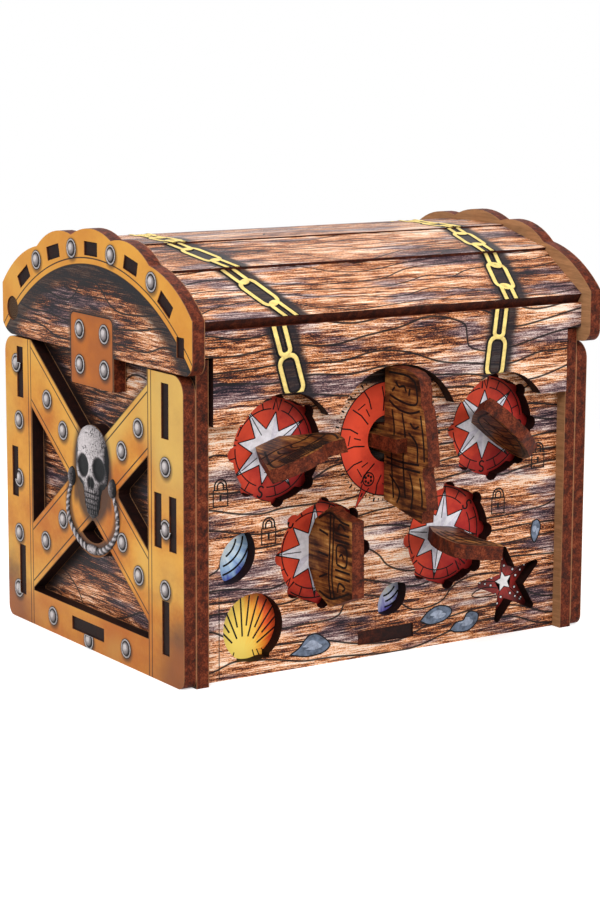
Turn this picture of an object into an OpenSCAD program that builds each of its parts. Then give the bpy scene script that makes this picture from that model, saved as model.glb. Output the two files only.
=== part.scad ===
// Puzzle treasure chest of cut boards: a vaulted lid on two hinge pins, double side walls, a
// three-layer front wall, and five dials in it, each turned by a flat picture token.
// Millimetres, +Z up, the chest stands on Z = 0 and its front faces -Y.

/* [Show] */
// Sub-part to draw

/* [Board] */
// Thickness of every board
board = 4; // [3.5:0.1:5]
// Gap between pieces that move past each other
play = 0.3; // [0.2:0.05:0.5]
// How far a tab's end stays behind the face it comes out of
tab_recess = 0.4; // [0.2:0.1:1]

/* [Chest] */
// Width over the two side frames
chest_width = 139; // [125:1:160]
// Depth of the side frames, front to rear
chest_depth = 105; // [98:1:115]
// Height of the front wall and the inner side walls
wall_height = 90.4; // [88:0.2:96]
// How much lower the rear wall is
rear_step = 0.8; // [0.4:0.1:2]
// Front face of the front wall, behind the side walls' front edges
wall_inset = 3.6; // [3:0.1:5]
// Underside of the floor above the ground
floor_lift = 3.8; // [2:0.1:8]
// Length of each tab that joins a wall to the sides
tab_length = 15.3; // [8:0.1:20]
// Lower tab above the ground
low_tab_rise = 7.9; // [4:0.1:15]
// Upper tab below the wall's top
top_tab_drop = 6.9; // [4:0.1:15]
// Width of the floor's tabs
floor_tab = 19.4; // [10:0.1:30]
// Rounding of the inner side walls' rear top corner
wall_round = 4; // [1:0.5:8]

/* [Side frame] */
// How much lower the side frames are than the inner side walls
frame_step = 4.2; // [3.5:0.1:6]
// Width of the front post
front_post = 19.1; // [16:0.1:24]
// Width of the rear post
rear_post = 16.8; // [14:0.1:22]
// Height of the bottom rail
bottom_rail = 10.5; // [9:0.1:14]
// Width of the crossed braces
brace_width = 16; // [10:0.5:18]
// Slope of the crossed braces
brace_angle = 36.3; // [34:0.1:38]
// Where the braces cross: distance from the front edge and height
cross_at = [50.8, 48.8];
// Rounding of the posts' top outer corners
post_round = 5; // [2:0.5:8]
// Rounding of the feet
foot_round = 3; // [1:0.5:6]

/* [Skull and ring] */
// Radius of the skull's crown
skull_radius = 9.8; // [8:0.1:12]
// Height of the crown's centre above the crossing
skull_rise = 7.6; // [5:0.1:10]
// Width of the jaw
jaw_width = 12; // [8:0.5:16]
// Depth of the jaw's lower edge below the crossing
jaw_drop = 10.4; // [10:0.1:11]
// Outer radius of the ring
ring_radius = 15.6; // [15:0.1:18]
// Width of the ring's band
ring_band = 4; // [3:0.1:5]
// Depth of the ring's centre below the crossing
ring_drop = 5.3; // [4:0.1:8]
// Height of the ring's end balls above its centre
ball_rise = 6; // [3:0.5:8]
// Radius of the ring's end balls
ball_radius = 2.8; // [2:0.1:4]

/* [Pictures in the front] */
// Large mussel: length and width
mussel_size = [15.8, 10.6];
// Large mussel: distance from the left side and height
mussel_at = [19.4, 34];
// Large mussel: turn from level
mussel_turn = 61; // [0:1:90]
// Small mussel: length and width
small_mussel_size = [12, 8.2];
// Small mussel: distance right of the middle and height
small_mussel_at = [2.1, 16];
// Small mussel: turn from level
small_mussel_turn = 40; // [0:1:90]
// Scallop: radius of the fan
scallop_radius = 9.7; // [7:0.1:11]
// Scallop: distance from the left side and height
scallop_at = [24.4, 13.8];
// Scallop: width and height of the foot
scallop_foot = [10.8, 5.4];
// Scallop: foot's lower edge below the fan's centre
scallop_foot_drop = 9.2; // [7:0.1:9.6]
// Starfish: distance from the right side and height
star_at = [24.6, 14.8];
// Starfish: length of each arm
star_reach = 12; // [10:0.1:14]
// Starfish: radius where two arms meet
star_core = 5.2; // [3:0.1:6]
// Starfish: radius of the arms' round tips
star_tip = 1.1; // [0.6:0.1:1.4]
// Starfish: angle of its first arm
star_turn = 102; // [80:1:115]

/* [Dials] */
// Upper dials: distance from the middle and height
upper_dial = [37.3, 63];
// Lower dials: distance from the middle and height
lower_dial = [21.9, 32.3];
// Radius of the round part of a dial's hole
hole_radius = 14.4; // [13.8:0.1:15]
// Number of small lobes round a dial's hole
lobe_count = 8; // [6:1:12]
// Radius of each lobe
lobe_radius = 2.2; // [1.5:0.1:2.5]
// Distance of the lobes' far edges from the dial's axis
lobe_reach = 16; // [15.2:0.1:16]
// Radius of the four token discs
disc_radius = 16.2; // [16.1:0.05:16.5]
// Radius of the middle dial's hidden hub
hub_radius = 12; // [9:0.5:16]
// Radius of the round hole for the middle dial
centre_hole = 6.9; // [6.6:0.1:8]
// Width of a token's stem
stem_width = 8; // [6:0.5:9]
// Radius of the caps behind the front wall
cap_radius = 9; // [7:0.5:11]
// Thickness of the caps
cap_thickness = 3; // [2:0.5:5]
// Width of the cross peg in the middle dial
peg_width = 11.6; // [10:0.1:12.2]
// How far the cross peg stands out of the front wall
peg_reach = 12.3; // [8:0.1:16]
// Turn of each token's board from level
bottle_turn = 17; // [-90:1:90]
helmet_turn = -39; // [-90:1:90]
strongbox_turn = 90; // [-90:1:90]
parrot_turn = -7.5; // [-90:0.5:90]
captain_turn = 90; // [-90:1:90]

/* [Hinge] */
// Hinge axis in front of the rear edge
hinge_inset = 6; // [5.5:0.1:7]
// Hinge axis above the side walls
hinge_rise = 4.3; // [4:0.1:4.8]
// Radius of the hinge pins
pin_radius = 3.5; // [2:0.1:3.8]
// Radial gap between a pin and the lid
pin_gap = 0.08; // [0.02:0.01:0.1]
// Radius of the ears that hold the pins
ear_radius = 6; // [5:0.1:6.2]
// Half the width of the neck under an ear
ear_neck = 5; // [4:0.1:5]

/* [Lid ends] */
// Gap between the side frames and the lid ends
lid_gap = 0.6; // [0.5:0.05:1.2]
// Front overhang of the lid ends
lid_overhang = 5.4; // [4:0.1:7]
// Rear overhang of the lid ends
rear_overhang = 0.4; // [0:0.1:1]
// Radius of the lid ends' rear lower corner, about the hinge
heel_radius = 7.9; // [7.5:0.1:8]
// Rounding of the lid ends' front lower corner
toe_round = 3.8; // [2:0.1:5]
// Height of the lid ends' upright edges above the hinge
shoulder_rise = 7.1; // [6:0.1:9]
// Middle notch point of the outline: distance from the lid's middle and height above the hinge
eave_at = [32.8, 19.8];
// Top corner of the outline: distance from the lid's middle and height above the hinge
crown_at = [11.6, 24.7];
// Bulge of the lowest lobe
low_sag = 2.2; // [1:0.1:4]
// Bulge of the upper lobes
high_sag = 2.6; // [1:0.1:4]
// Half the width of the tongue
tongue_half = 12.6; // [8:0.1:14]
// Depth of the tongue below the lid ends
tongue_drop = 9.6; // [6:0.1:12]

/* [Lid slats] */
// Half the depth of the top slat
top_slat_half = 13.4; // [11:0.1:15]
// Upper face of the top slat above the hinge
top_slat_rise = 23.6; // [22:0.1:24]
// Middle slats' lower outer edge: distance from the lid's middle and height above the hinge
mid_slat_at = [34.1, 18.2];
// Middle slats' slope
mid_slat_tilt = 13.5; // [10:0.5:18]
// Middle slats' length along the slope
mid_slat_length = 22.6; // [22:0.1:24]
// Low slats' lower outer edge: distance from the lid's middle and height above the hinge
low_slat_at = [51.3, 6.1];
// Low slats' slope
low_slat_tilt = 33; // [30:0.5:35]
// Low slats' length along the slope
low_slat_length = 21; // [20:0.1:22]
// Length of each slat's tab
slat_tab = 7.7; // [5:0.1:10]
// Gap between the low rear slat and the ears
ear_gap = 1.2; // [0.5:0.1:2]

/* [Skirt and rear rail] */
// Gap between the skirt and the front wall
skirt_gap = 0.9; // [0.5:0.1:1.5]
// Skirt's upper edge above the hinge
skirt_rise = 3.5; // [3:0.1:4.5]
// Gap between the skirt's wide part and the side walls' tops
skirt_seat = 0.6; // [0.4:0.1:1]
// Skirt's lower edge above the upper dials' axes
skirt_drop = 9.2; // [6:0.1:12]
// Gap between the skirt's narrow part and the inner side walls
skirt_side_gap = 0.7; // [0.4:0.1:1.5]
// Length of the skirt's tabs
skirt_tab = 5.6; // [3:0.1:6.4]
// Gap between the arches and the lobes round the upper dials
arch_gap = 0.8; // [0.5:0.1:2]
// Radius of the middle arch
centre_arch = 21.8; // [21.6:0.1:23]

/* [Hidden] */
$fn = 72;
// Overshoot of cuts, so that no skin is left
over = 1;
print_gold = [0.93, 0.66, 0.31];
print_plank = [0.72, 0.52, 0.38];
bare_board = [0.80, 0.61, 0.42];
token_wood = [0.47, 0.31, 0.19];

middle = chest_width / 2;
rear_edge = chest_depth;
rear_height = wall_height - rear_step;
frame_height = wall_height - frame_step;
panel_y = wall_inset;
mid_y = panel_y + board;
inner_y = mid_y + board;
room_front = inner_y + board;
rear_y = chest_depth - wall_inset - board;
rear_inner_y = rear_y - board;
side_in = 2 * board;
wall_span = chest_width - 2 * side_in;
low_tab_z = low_tab_rise;
mid_tab_z = (wall_height - tab_length) / 2;
top_tab_z = wall_height - top_tab_drop - tab_length;
floor_mid = (room_front + rear_inner_y) / 2;

// Dials: places in the front wall, and depths measured from its face
dial_upper_left = [middle - upper_dial[0], upper_dial[1]];
dial_upper_right = [middle + upper_dial[0], upper_dial[1]];
dial_lower_left = [middle - lower_dial[0], lower_dial[1]];
dial_lower_right = [middle + lower_dial[0], lower_dial[1]];
dial_centre = [middle, upper_dial[1]];
outer_dials = [dial_upper_left, dial_upper_right, dial_lower_left, dial_lower_right];
disc_y = mid_y + play;
disc_thickness = board - 2 * play;
cap_y = room_front + play;
seat = board + play;
stem_end = cap_y + cap_thickness - panel_y;
stem_hole = norm([stem_width, board]) / 2 + 2 * play;
low = -seat / board;
neck = stem_width / board / 2;

// Token outlines in boards: distance across the dial's axis, distance out of the front wall
bottle_outline = [[-neck, low], [-1.25, -0.6], [-3.2, 4], [-1.6, 4.45], [-0.45, 4.5], [0.95, 4.35],
    [1.6, 3.95], [2.2, 4.2], [2.75, 4.6], [3.2, 3], [2.7, 1.6], [1.9, 0.5], [neck, low]];
helmet_outline = [[-neck, low], [-2.3, 0.4], [-3.75, 3], [-3.6, 3.35], [-2.3, 3.75], [-0.7, 3.65],
    [0.3, 3.55], [1.8, 2.85], [2.75, 2.2], [3.35, 0.9], [3, -0.2], [1.9, -0.9], [neck, low]];
strongbox_outline = [[neck, low], [2.5, -0.2], [3.6, 1.6], [3.3, 2.1], [3.05, 3.5], [3, 4.3],
    [-2.4, 4.4], [-3, 2.9], [-3.5, 1.7], [-2.7, -0.1], [-neck, low]];
parrot_outline = [[-neck, low], [-2.5, 1.4], [-3.4, 3.4], [-3.95, 5.3], [-4.1, 6.2], [-3.6, 6.9],
    [-2, 7.1], [-0.6, 7.2], [-0.2, 6.3], [-0.2, 3.9], [1.1, 0], [neck, low]];
captain_outline = [[neck, low], [neck, 0.3], [5.3, 0.3], [5.3, 2.8], [5.15, 3.75], [4.8, 4.35],
    [4, 4.6], [3.1, 4.6], [2.65, 4.95], [1.6, 5.2], [-0.1, 5.5], [-1.2, 5.6], [-1.35, 4.95],
    [-1.9, 4.9], [-2.3, 5.1], [-3.6, 5.4], [-4.3, 5.45], [-4.4, 5], [-5.3, 4.9], [-4.3, 0.3],
    [-neck, 0.3], [-neck, low]];
token_reach = board * max([for (p = parrot_outline) p[1]]);

// Lid, in the side view
hinge_y = rear_edge - hinge_inset;
hinge_z = wall_height + hinge_rise;
lid_front = -lid_overhang;
lid_rear = rear_edge + rear_overhang;
lid_mid = (lid_front + lid_rear) / 2;
lid_half = (lid_rear - lid_front) / 2;
lid_bottom = frame_height + lid_gap;
lid_end_x = -play;
slat_x = lid_end_x + board;
slat_span = chest_width - 2 * slat_x;
top_slat_under = hinge_z + top_slat_rise - board;
low_slat_foot = [lid_mid - low_slat_at[0], hinge_z + low_slat_at[1]];
mid_slat_foot = [lid_mid - mid_slat_at[0], hinge_z + mid_slat_at[1]];
skirt_y = panel_y - skirt_gap - board;
skirt_top = hinge_z + skirt_rise;
skirt_step = wall_height + skirt_seat;
skirt_bottom = upper_dial[1] + skirt_drop;
skirt_tab_z = skirt_step + play;
skirt_inner_x = side_in + skirt_side_gap;
rail_x = side_in + play;

// The origin is the middle of the closed chest's box, tokens and lid included, on the ground
y_mid = (lid_rear + panel_y - token_reach) / 2;

module place() {
    translate([-middle, -y_mid, 0]) children();
}

module to_right() {
    translate([chest_width, 0, 0]) mirror([1, 0, 0]) children();
}

// A board across X, drawn as (y, z)
module side_board(x, thickness = board) {
    translate([x, 0, 0]) rotate([90, 0, 90]) linear_extrude(height = thickness) children();
}

// A board across Y, drawn as (x, z)
module front_board(y, thickness = board) {
    translate([0, y + thickness, 0]) rotate([90, 0, 0]) linear_extrude(height = thickness) children();
}

// What a rounding of radius r takes from a square corner at the origin
module corner_waste(r) {
    difference() {
        translate([-over, -over]) square(r + over);
        translate([r, r]) circle(r);
    }
}

// Points of an arc from a up to, but without, b that bulges to the left by sag
function arc_between(a, b, sag, steps = 10) =
    let (
        chord = norm(b - a),
        radius = (chord * chord / 4 + sag * sag) / (2 * sag),
        along = (b - a) / chord,
        left = [-along[1], along[0]],
        centre = (a + b) / 2 - left * (radius - sag),
        half = asin(chord / (2 * radius))
    )
    [for (i = [0 : steps - 1])
        let (turn = -half + 2 * half * i / steps)
        centre + radius * (left * cos(turn) + along * sin(turn))];

// ---- Chest walls ----

module slot_at(y, z, length = tab_length) {
    translate([y, z]) square([board, length]);
}

// The slots that both side boards share, in the side view
module wall_slots() {
    slot_at(panel_y, mid_tab_z);
    slot_at(mid_y, low_tab_z);
    slot_at(mid_y, top_tab_z);
    slot_at(inner_y, mid_tab_z);
    slot_at(rear_y, mid_tab_z);
    slot_at(rear_inner_y, low_tab_z);
    slot_at(rear_inner_y, top_tab_z);
    translate([floor_mid - floor_tab / 2, floor_lift]) square([floor_tab, board]);
}

module floor_slot() {
    translate([middle - floor_tab / 2, floor_lift]) square([floor_tab, board]);
}

// A wall between the inner side walls with a pair of tabs at each height in tabs
module wall_outline(height, tabs) {
    translate([side_in, 0]) square([wall_span, height]);
    for (z = tabs) {
        translate([tab_recess, z]) square([chest_width - 2 * tab_recess, tab_length]);
    }
}

module bottom_panel() {
    color(bare_board) place() translate([0, 0, floor_lift]) linear_extrude(height = board) {
        translate([side_in, room_front]) square([wall_span, rear_inner_y - room_front]);
        translate([tab_recess, floor_mid - floor_tab / 2])
            square([chest_width - 2 * tab_recess, floor_tab]);
        translate([middle - floor_tab / 2, panel_y + tab_recess])
            square([floor_tab, rear_y + board - panel_y - 2 * tab_recess]);
    }
}

module side_panel() {
    color(print_plank) side_board(board) difference() {
        union() {
            difference() {
                square([chest_depth, wall_height]);
                translate([chest_depth, wall_height]) rotate(180) corner_waste(wall_round);
            }
            translate([hinge_y, hinge_z]) circle(ear_radius);
            translate([hinge_y - ear_neck, frame_height])
                square([2 * ear_neck, wall_height - frame_height + hinge_rise / 2]);
        }
        wall_slots();
        translate([hinge_y, hinge_z]) circle(pin_radius);
    }
}

module braces() {
    for (side = [-1, 1]) {
        translate(cross_at) rotate(side * brace_angle) square([2 * chest_depth, brace_width], center = true);
    }
}

module skull_and_ring() {
    translate(cross_at + [0, skull_rise]) circle(skull_radius);
    translate(cross_at - [jaw_width / 2, jaw_drop]) square([jaw_width, jaw_drop]);
    translate(cross_at - [0, ring_drop]) {
        difference() {
            circle(ring_radius);
            circle(ring_radius - ring_band);
            translate([-ring_radius - over, ball_rise]) square(2 * (ring_radius + over));
        }
        for (side = [-1, 1]) {
            ball_y = sqrt(pow(ring_radius - ring_band / 2, 2) - pow(ball_rise, 2));
            translate([side * ball_y, ball_rise]) circle(ball_radius);
        }
    }
}

module side_frame() {
    color(print_gold) side_board(0) difference() {
        union() {
            square([front_post, frame_height]);
            translate([chest_depth - rear_post, 0]) square([rear_post, frame_height]);
            square([chest_depth, bottom_rail]);
            intersection() {
                translate([front_post, 0]) square([chest_depth - front_post - rear_post, frame_height]);
                braces();
            }
            skull_and_ring();
        }
        wall_slots();
        corner_waste(foot_round);
        translate([chest_depth, 0]) rotate(90) corner_waste(foot_round);
        translate([0, frame_height]) rotate(-90) corner_waste(post_round);
        translate([chest_depth, frame_height]) rotate(180) corner_waste(post_round);
    }
}

// ---- Front wall ----

module lobed_hole() {
    circle(hole_radius);
    for (i = [1 : lobe_count]) {
        rotate(i * 360 / lobe_count) translate([0, lobe_reach - lobe_radius]) circle(lobe_radius);
    }
}

// A pointed oval: where two equal circles overlap
module pointed_oval(size) {
    radius = (size[0] * size[0] + size[1] * size[1]) / (4 * size[1]);
    intersection_for(side = [-1, 1]) {
        translate([0, side * (radius - size[1] / 2)]) circle(radius);
    }
}

module scallop() {
    circle(scallop_radius);
    translate([-scallop_foot[0] / 2, -scallop_foot_drop]) square(scallop_foot);
}

module starfish() {
    arms = 5;
    half_step = 180 / arms;
    meet = star_core * [cos(half_step), sin(half_step)];
    taper = (meet[1] - star_tip) / (star_reach - star_tip - meet[0]);
    root = meet[1] + taper * meet[0];
    for (i = [1 : arms]) {
        rotate(star_turn + i * 2 * half_step) {
            polygon([[0, -root], [star_reach - star_tip, -star_tip], [star_reach - star_tip, star_tip], [0, root]]);
            translate([star_reach - star_tip, 0]) circle(star_tip);
        }
    }
}

module front_panel() {
    color(print_plank) place() front_board(panel_y) difference() {
        wall_outline(wall_height, [mid_tab_z]);
        for (at = outer_dials) {
            translate(at) lobed_hole();
        }
        translate(dial_centre) circle(centre_hole);
        translate(mussel_at) rotate(mussel_turn) pointed_oval(mussel_size);
        translate([middle, 0] + small_mussel_at) rotate(small_mussel_turn) pointed_oval(small_mussel_size);
        translate(scallop_at) scallop();
        translate([chest_width - star_at[0], star_at[1]]) starfish();
        floor_slot();
    }
}

module front_mid() {
    color(bare_board) place() front_board(mid_y) difference() {
        wall_outline(wall_height, [low_tab_z, top_tab_z]);
        for (at = outer_dials) {
            translate(at) circle(disc_radius + play);
        }
        translate(dial_centre) circle(hub_radius + play);
        floor_slot();
    }
}

module front_inner() {
    color(bare_board) place() front_board(inner_y) difference() {
        wall_outline(wall_height, [mid_tab_z]);
        for (at = concat(outer_dials, [dial_centre])) {
            translate(at) circle(stem_hole);
        }
        floor_slot();
    }
}

// ---- Rear wall ----

module rear_panel() {
    color(print_plank) place() front_board(rear_y) difference() {
        wall_outline(rear_height, [mid_tab_z]);
        floor_slot();
    }
}

module rear_inner() {
    color(bare_board) place() front_board(rear_inner_y) difference() {
        wall_outline(rear_height, [low_tab_z, top_tab_z]);
        floor_slot();
    }
}

// ---- Dials ----

module round_plate(at, turn, y, thickness, radius) {
    front_board(y, thickness) translate(at) difference() {
        circle(radius);
        rotate(turn) square([stem_width, board], center = true);
    }
}

module disc(at, turn, radius = disc_radius) {
    color(bare_board) place() round_plate(at, turn, disc_y, disc_thickness, radius);
}

module cap(at, turn) {
    color(bare_board) place() round_plate(at, turn, cap_y, cap_thickness, cap_radius);
}

// A token's outline, closed by the stem that runs through to the cap
function with_stem(outline) =
    let (last_side = sign(outline[len(outline) - 1][0]) * stem_width / 2)
    concat(outline * board, [[last_side, -stem_end], [-last_side, -stem_end]]);

// A token, drawn as (across, out); a child is cut from it
module token(at, turn, outline) {
    color(token_wood) place() translate([at[0], panel_y, at[1]]) rotate([0, -turn, 0]) rotate([180, 0, 0])
        linear_extrude(height = board, center = true) difference() {
            polygon(with_stem(outline));
            children();
        }
}

module cross_peg() {
    color(token_wood) place()
        translate([middle - peg_width / 2, panel_y - peg_reach, upper_dial[1] - board / 2])
            cube([peg_width, peg_reach + seat, board]);
}

module peg_slot() {
    translate([-board / 2, -seat]) square([board, peg_reach + seat]);
}

// ---- Hinge ----

module hinge_pin() {
    color(bare_board) side_board(lid_end_x + tab_recess, side_in - lid_end_x - tab_recess)
        translate([hinge_y, hinge_z]) circle(pin_radius);
}

// ---- Lid ----

module to_rear() {
    translate([2 * lid_mid, 0]) mirror([1, 0]) children();
}

// A slat's section from its lower outer edge up the slope, in the side view
module slat_section(foot, tilt, length) {
    translate(foot) rotate(tilt) translate([0, -board]) square([length, board]);
}

module low_section() {
    difference() {
        slat_section(low_slat_foot, low_slat_tilt, low_slat_length);
        mid_section();
    }
}

module mid_section() {
    difference() {
        slat_section(mid_slat_foot, mid_slat_tilt, mid_slat_length);
        top_section();
    }
}

module top_section() {
    translate([lid_mid - top_slat_half, top_slat_under]) square([2 * top_slat_half, board]);
}

module section_tab(foot, tilt, length) {
    translate(foot) rotate(tilt) translate([(length - slat_tab) / 2, -board]) square([slat_tab, board]);
}

module low_tab() {
    section_tab(low_slat_foot, low_slat_tilt, low_slat_length);
}

module mid_tab() {
    section_tab(mid_slat_foot, mid_slat_tilt, mid_slat_length);
}

module top_tab() {
    translate([lid_mid - slat_tab / 2, top_slat_under]) square([slat_tab, board]);
}

module skirt_tab_section() {
    translate([skirt_y, skirt_tab_z]) square([board, skirt_tab]);
}

// The lid end's outline: five bulging lobes from shoulder to shoulder, then the tongue
function lid_points() =
    let (
        rises = [shoulder_rise, eave_at[1], crown_at[1]],
        spans = [lid_half, eave_at[0], crown_at[0]],
        corners = concat([for (i = [0 : 2]) [lid_mid - spans[i], hinge_z + rises[i]]],
            [for (i = [2 : -1 : 0]) [lid_mid + spans[i], hinge_z + rises[i]]]),
        sags = [low_sag, high_sag, high_sag, high_sag, low_sag]
    )
    concat([for (i = [0 : len(sags) - 1]) each arc_between(corners[i], corners[i + 1], sags[i])],
        [corners[len(sags)], [lid_rear, lid_bottom], [lid_mid + tongue_half, lid_bottom],
            [lid_mid + tongue_half, lid_bottom - tongue_drop],
            [lid_mid - tongue_half, lid_bottom - tongue_drop],
            [lid_mid - tongue_half, lid_bottom], [lid_front, lid_bottom]]);

module lid_outline() {
    difference() {
        polygon(lid_points());
        translate([lid_front, lid_bottom]) corner_waste(toe_round);
        difference() {
            translate([hinge_y, lid_bottom - over])
                square([hinge_inset + rear_overhang + over, hinge_z - lid_bottom + over]);
            translate([hinge_y, hinge_z]) circle(heel_radius);
        }
    }
}

module lid_end() {
    color(print_gold) side_board(lid_end_x) difference() {
        lid_outline();
        low_tab();
        mid_tab();
        top_tab();
        to_rear() low_tab();
        to_rear() mid_tab();
        skirt_tab_section();
        translate([hinge_y, hinge_z]) circle(pin_radius + pin_gap);
    }
}

// A lid board across the chest: child 0 is its section, child 1 its tabs' section
module across_lid() {
    color(print_plank) {
        side_board(slat_x, slat_span) children(0);
        side_board(lid_end_x + tab_recess, chest_width - 2 * (lid_end_x + tab_recess)) children(1);
    }
}

module ear_room() {
    side_board(slat_x - over, rail_x - slat_x + over)
        translate([hinge_y, hinge_z]) circle(ear_radius + ear_gap);
}

module low_rear_slat() {
    difference() {
        across_lid() {
            to_rear() low_section();
            to_rear() low_tab();
        }
        ear_room();
        to_right() ear_room();
    }
}

module lid_skirt() {
    color(print_plank) place() difference() {
        union() {
            front_board(skirt_y) difference() {
                union() {
                    translate([slat_x, skirt_step]) square([slat_span, skirt_top - skirt_step]);
                    translate([skirt_inner_x, skirt_bottom])
                        square([chest_width - 2 * skirt_inner_x, skirt_step - skirt_bottom]);
                }
                for (at = [dial_upper_left, dial_upper_right]) {
                    translate(at) circle(lobe_reach + arch_gap);
                }
                translate(dial_centre) circle(centre_arch);
            }
            side_board(lid_end_x + tab_recess, chest_width - 2 * (lid_end_x + tab_recess))
                skirt_tab_section();
        }
        side_board(-over, chest_width + 2 * over) low_section();
    }
}

module lid_rear_rail() {
    color(print_plank) place() side_board(rail_x, chest_width - 2 * rail_x) difference() {
        translate([hinge_y - board / 2, skirt_step]) square([board, skirt_top - skirt_step]);
        to_rear() low_section();
    }
}

bottom_panel();
place() side_panel();  // side_panel_left
place() to_right() side_panel();  // side_panel_right
place() side_frame();  // side_frame_left
place() to_right() side_frame();  // side_frame_right
front_panel();
front_mid();
front_inner();
rear_panel();
rear_inner();
place() hinge_pin();  // hinge_pin_left
place() to_right() hinge_pin();  // hinge_pin_right
place() lid_end();  // lid_end_left
place() to_right() lid_end();  // lid_end_right
place() low_rear_slat();  // slat_1
place() across_lid() { to_rear() mid_section(); to_rear() mid_tab(); }  // slat_2
place() across_lid() { top_section(); top_tab(); }  // slat_3
place() across_lid() { mid_section(); mid_tab(); }  // slat_4
place() across_lid() { low_section(); low_tab(); }  // slat_5
lid_skirt();
lid_rear_rail();
disc(dial_upper_left, bottle_turn);  // disc_upper_left
disc(dial_upper_right, helmet_turn);  // disc_upper_right
disc(dial_lower_left, strongbox_turn);  // disc_lower_left
disc(dial_lower_right, parrot_turn);  // disc_lower_right
disc(dial_centre, captain_turn, hub_radius);  // hub_centre
token(dial_upper_left, bottle_turn, bottle_outline);  // token_bottle
token(dial_upper_right, helmet_turn, helmet_outline);  // token_helmet
token(dial_lower_left, strongbox_turn, strongbox_outline);  // token_strongbox
token(dial_lower_right, parrot_turn, parrot_outline);  // token_parrot
token(dial_centre, captain_turn, captain_outline) peg_slot();  // token_captain
cross_peg();
cap(dial_upper_left, bottle_turn);  // cap_upper_left
cap(dial_upper_right, helmet_turn);  // cap_upper_right
cap(dial_lower_left, strongbox_turn);  // cap_lower_left
cap(dial_lower_right, parrot_turn);  // cap_lower_right
cap(dial_centre, captain_turn);  // cap_centre
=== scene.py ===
import math

import bmesh
import bpy
from mathutils import Matrix, Vector


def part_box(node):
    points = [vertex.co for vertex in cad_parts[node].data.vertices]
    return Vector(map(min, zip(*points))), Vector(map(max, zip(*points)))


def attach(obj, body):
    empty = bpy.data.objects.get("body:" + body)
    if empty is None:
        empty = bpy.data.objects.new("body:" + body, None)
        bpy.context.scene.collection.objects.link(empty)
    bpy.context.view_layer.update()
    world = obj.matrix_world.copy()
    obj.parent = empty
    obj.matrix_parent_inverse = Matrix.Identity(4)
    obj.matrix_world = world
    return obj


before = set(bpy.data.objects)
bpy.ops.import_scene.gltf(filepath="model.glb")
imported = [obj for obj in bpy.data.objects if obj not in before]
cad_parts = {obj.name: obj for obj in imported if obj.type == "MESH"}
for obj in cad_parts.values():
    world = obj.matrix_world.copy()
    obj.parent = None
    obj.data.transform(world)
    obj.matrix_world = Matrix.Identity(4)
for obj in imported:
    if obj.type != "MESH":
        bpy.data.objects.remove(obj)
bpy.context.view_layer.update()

bl_info = {
    "name": "Puzzle Treasure Chest",
    "version": (1, 0, 0),
    "blender": (4, 5, 0),
    "location": "View3D > Sidebar > Chest",
    "description": "Prints, burnt edges, rivets, chains, compasses and tokens of a cut-board chest",
    "category": "Object",
}

# ---- Sizes, in millimetres of the chest: x from its left side, y from its front edge, z up ----

MM = 0.001
frame_low, frame_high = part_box("side_frame_left")
MIDDLE = -frame_low.x / MM
FRONT_EDGE = -frame_low.y / MM
BOARD = (frame_high.x - frame_low.x) / MM
DEPTH = (frame_high.y - frame_low.y) / MM
LID_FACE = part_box("lid_end_left")[0].x / MM + MIDDLE
PANEL_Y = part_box("front_panel")[0].y / MM + FRONT_EDGE
BACKING_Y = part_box("front_mid")[0].y / MM + FRONT_EDGE
DISC_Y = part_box("disc_upper_left")[0].y / MM + FRONT_EDGE
SKIRT_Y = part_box("lid_skirt")[0].y / MM + FRONT_EDGE
REAR_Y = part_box("rear_panel")[1].y / MM + FRONT_EDGE


def centre_of(node):
    """The middle of a node in the front view, as (x, z) in chest millimetres."""
    low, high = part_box(node)
    return ((low.x + high.x) / 2 / MM + MIDDLE, (low.z + high.z) / 2 / MM)


# Each dial: its disc, its token and the turn of the token's board; its body is dial_ and its title
DIALS = {
    "upper_left": ("disc_upper_left", "token_bottle", 17),
    "upper_right": ("disc_upper_right", "token_helmet", -39),
    "lower_left": ("disc_lower_left", "token_strongbox", 90),
    "lower_right": ("disc_lower_right", "token_parrot", -7.5),
    "centre": ("hub_centre", "token_captain", 90),
}
# Turn of north on each printed disc
NORTHS = {"upper_left": -13, "upper_right": -2, "lower_left": 135, "lower_right": 127}

# Side frame: posts, rail and crossed braces as cut
FRONT_POST = 19.1
REAR_POST = 16.8
RAIL = 10.5
CROSSING = (50.8, 48.8)
BRACE_ANGLE = 36.3
BRACE_HALF = 8.0
SKULL_CENTRE = (CROSSING[0], 53.4)

RIVET_REACH = 2.9
FRAME_RIVETS = [(96.9, 43.5), (97.2, 26.6), (98.1, 9.2), (97.8, 78.3), (96.4, 61.2), (76.1, 5.1), (54, 2.5),
                (32, 4.9), (9.4, 60.5), (9.5, 43.2), (9.7, 26.3), (78.2, 69.8), (68.4, 62.0), (24.2, 69.1),
                (33.6, 61.3), (80, 27.2), (68.9, 35.6), (33.6, 35.2), (24.4, 27.5)]
LID_RIVETS = [(83.2, 110.4), (61.4, 115.6), (38.4, 115.6), (16, 110.2)]
PLATE_RIVETS = [(57, 93.0), (42.6, 93.0), (57, 82.9), (42.6, 82.9)]
PLATE_LOW, PLATE_HIGH = (37.4, 76), (62.6, 98)
PLATE_ROUND = 2.4

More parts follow.
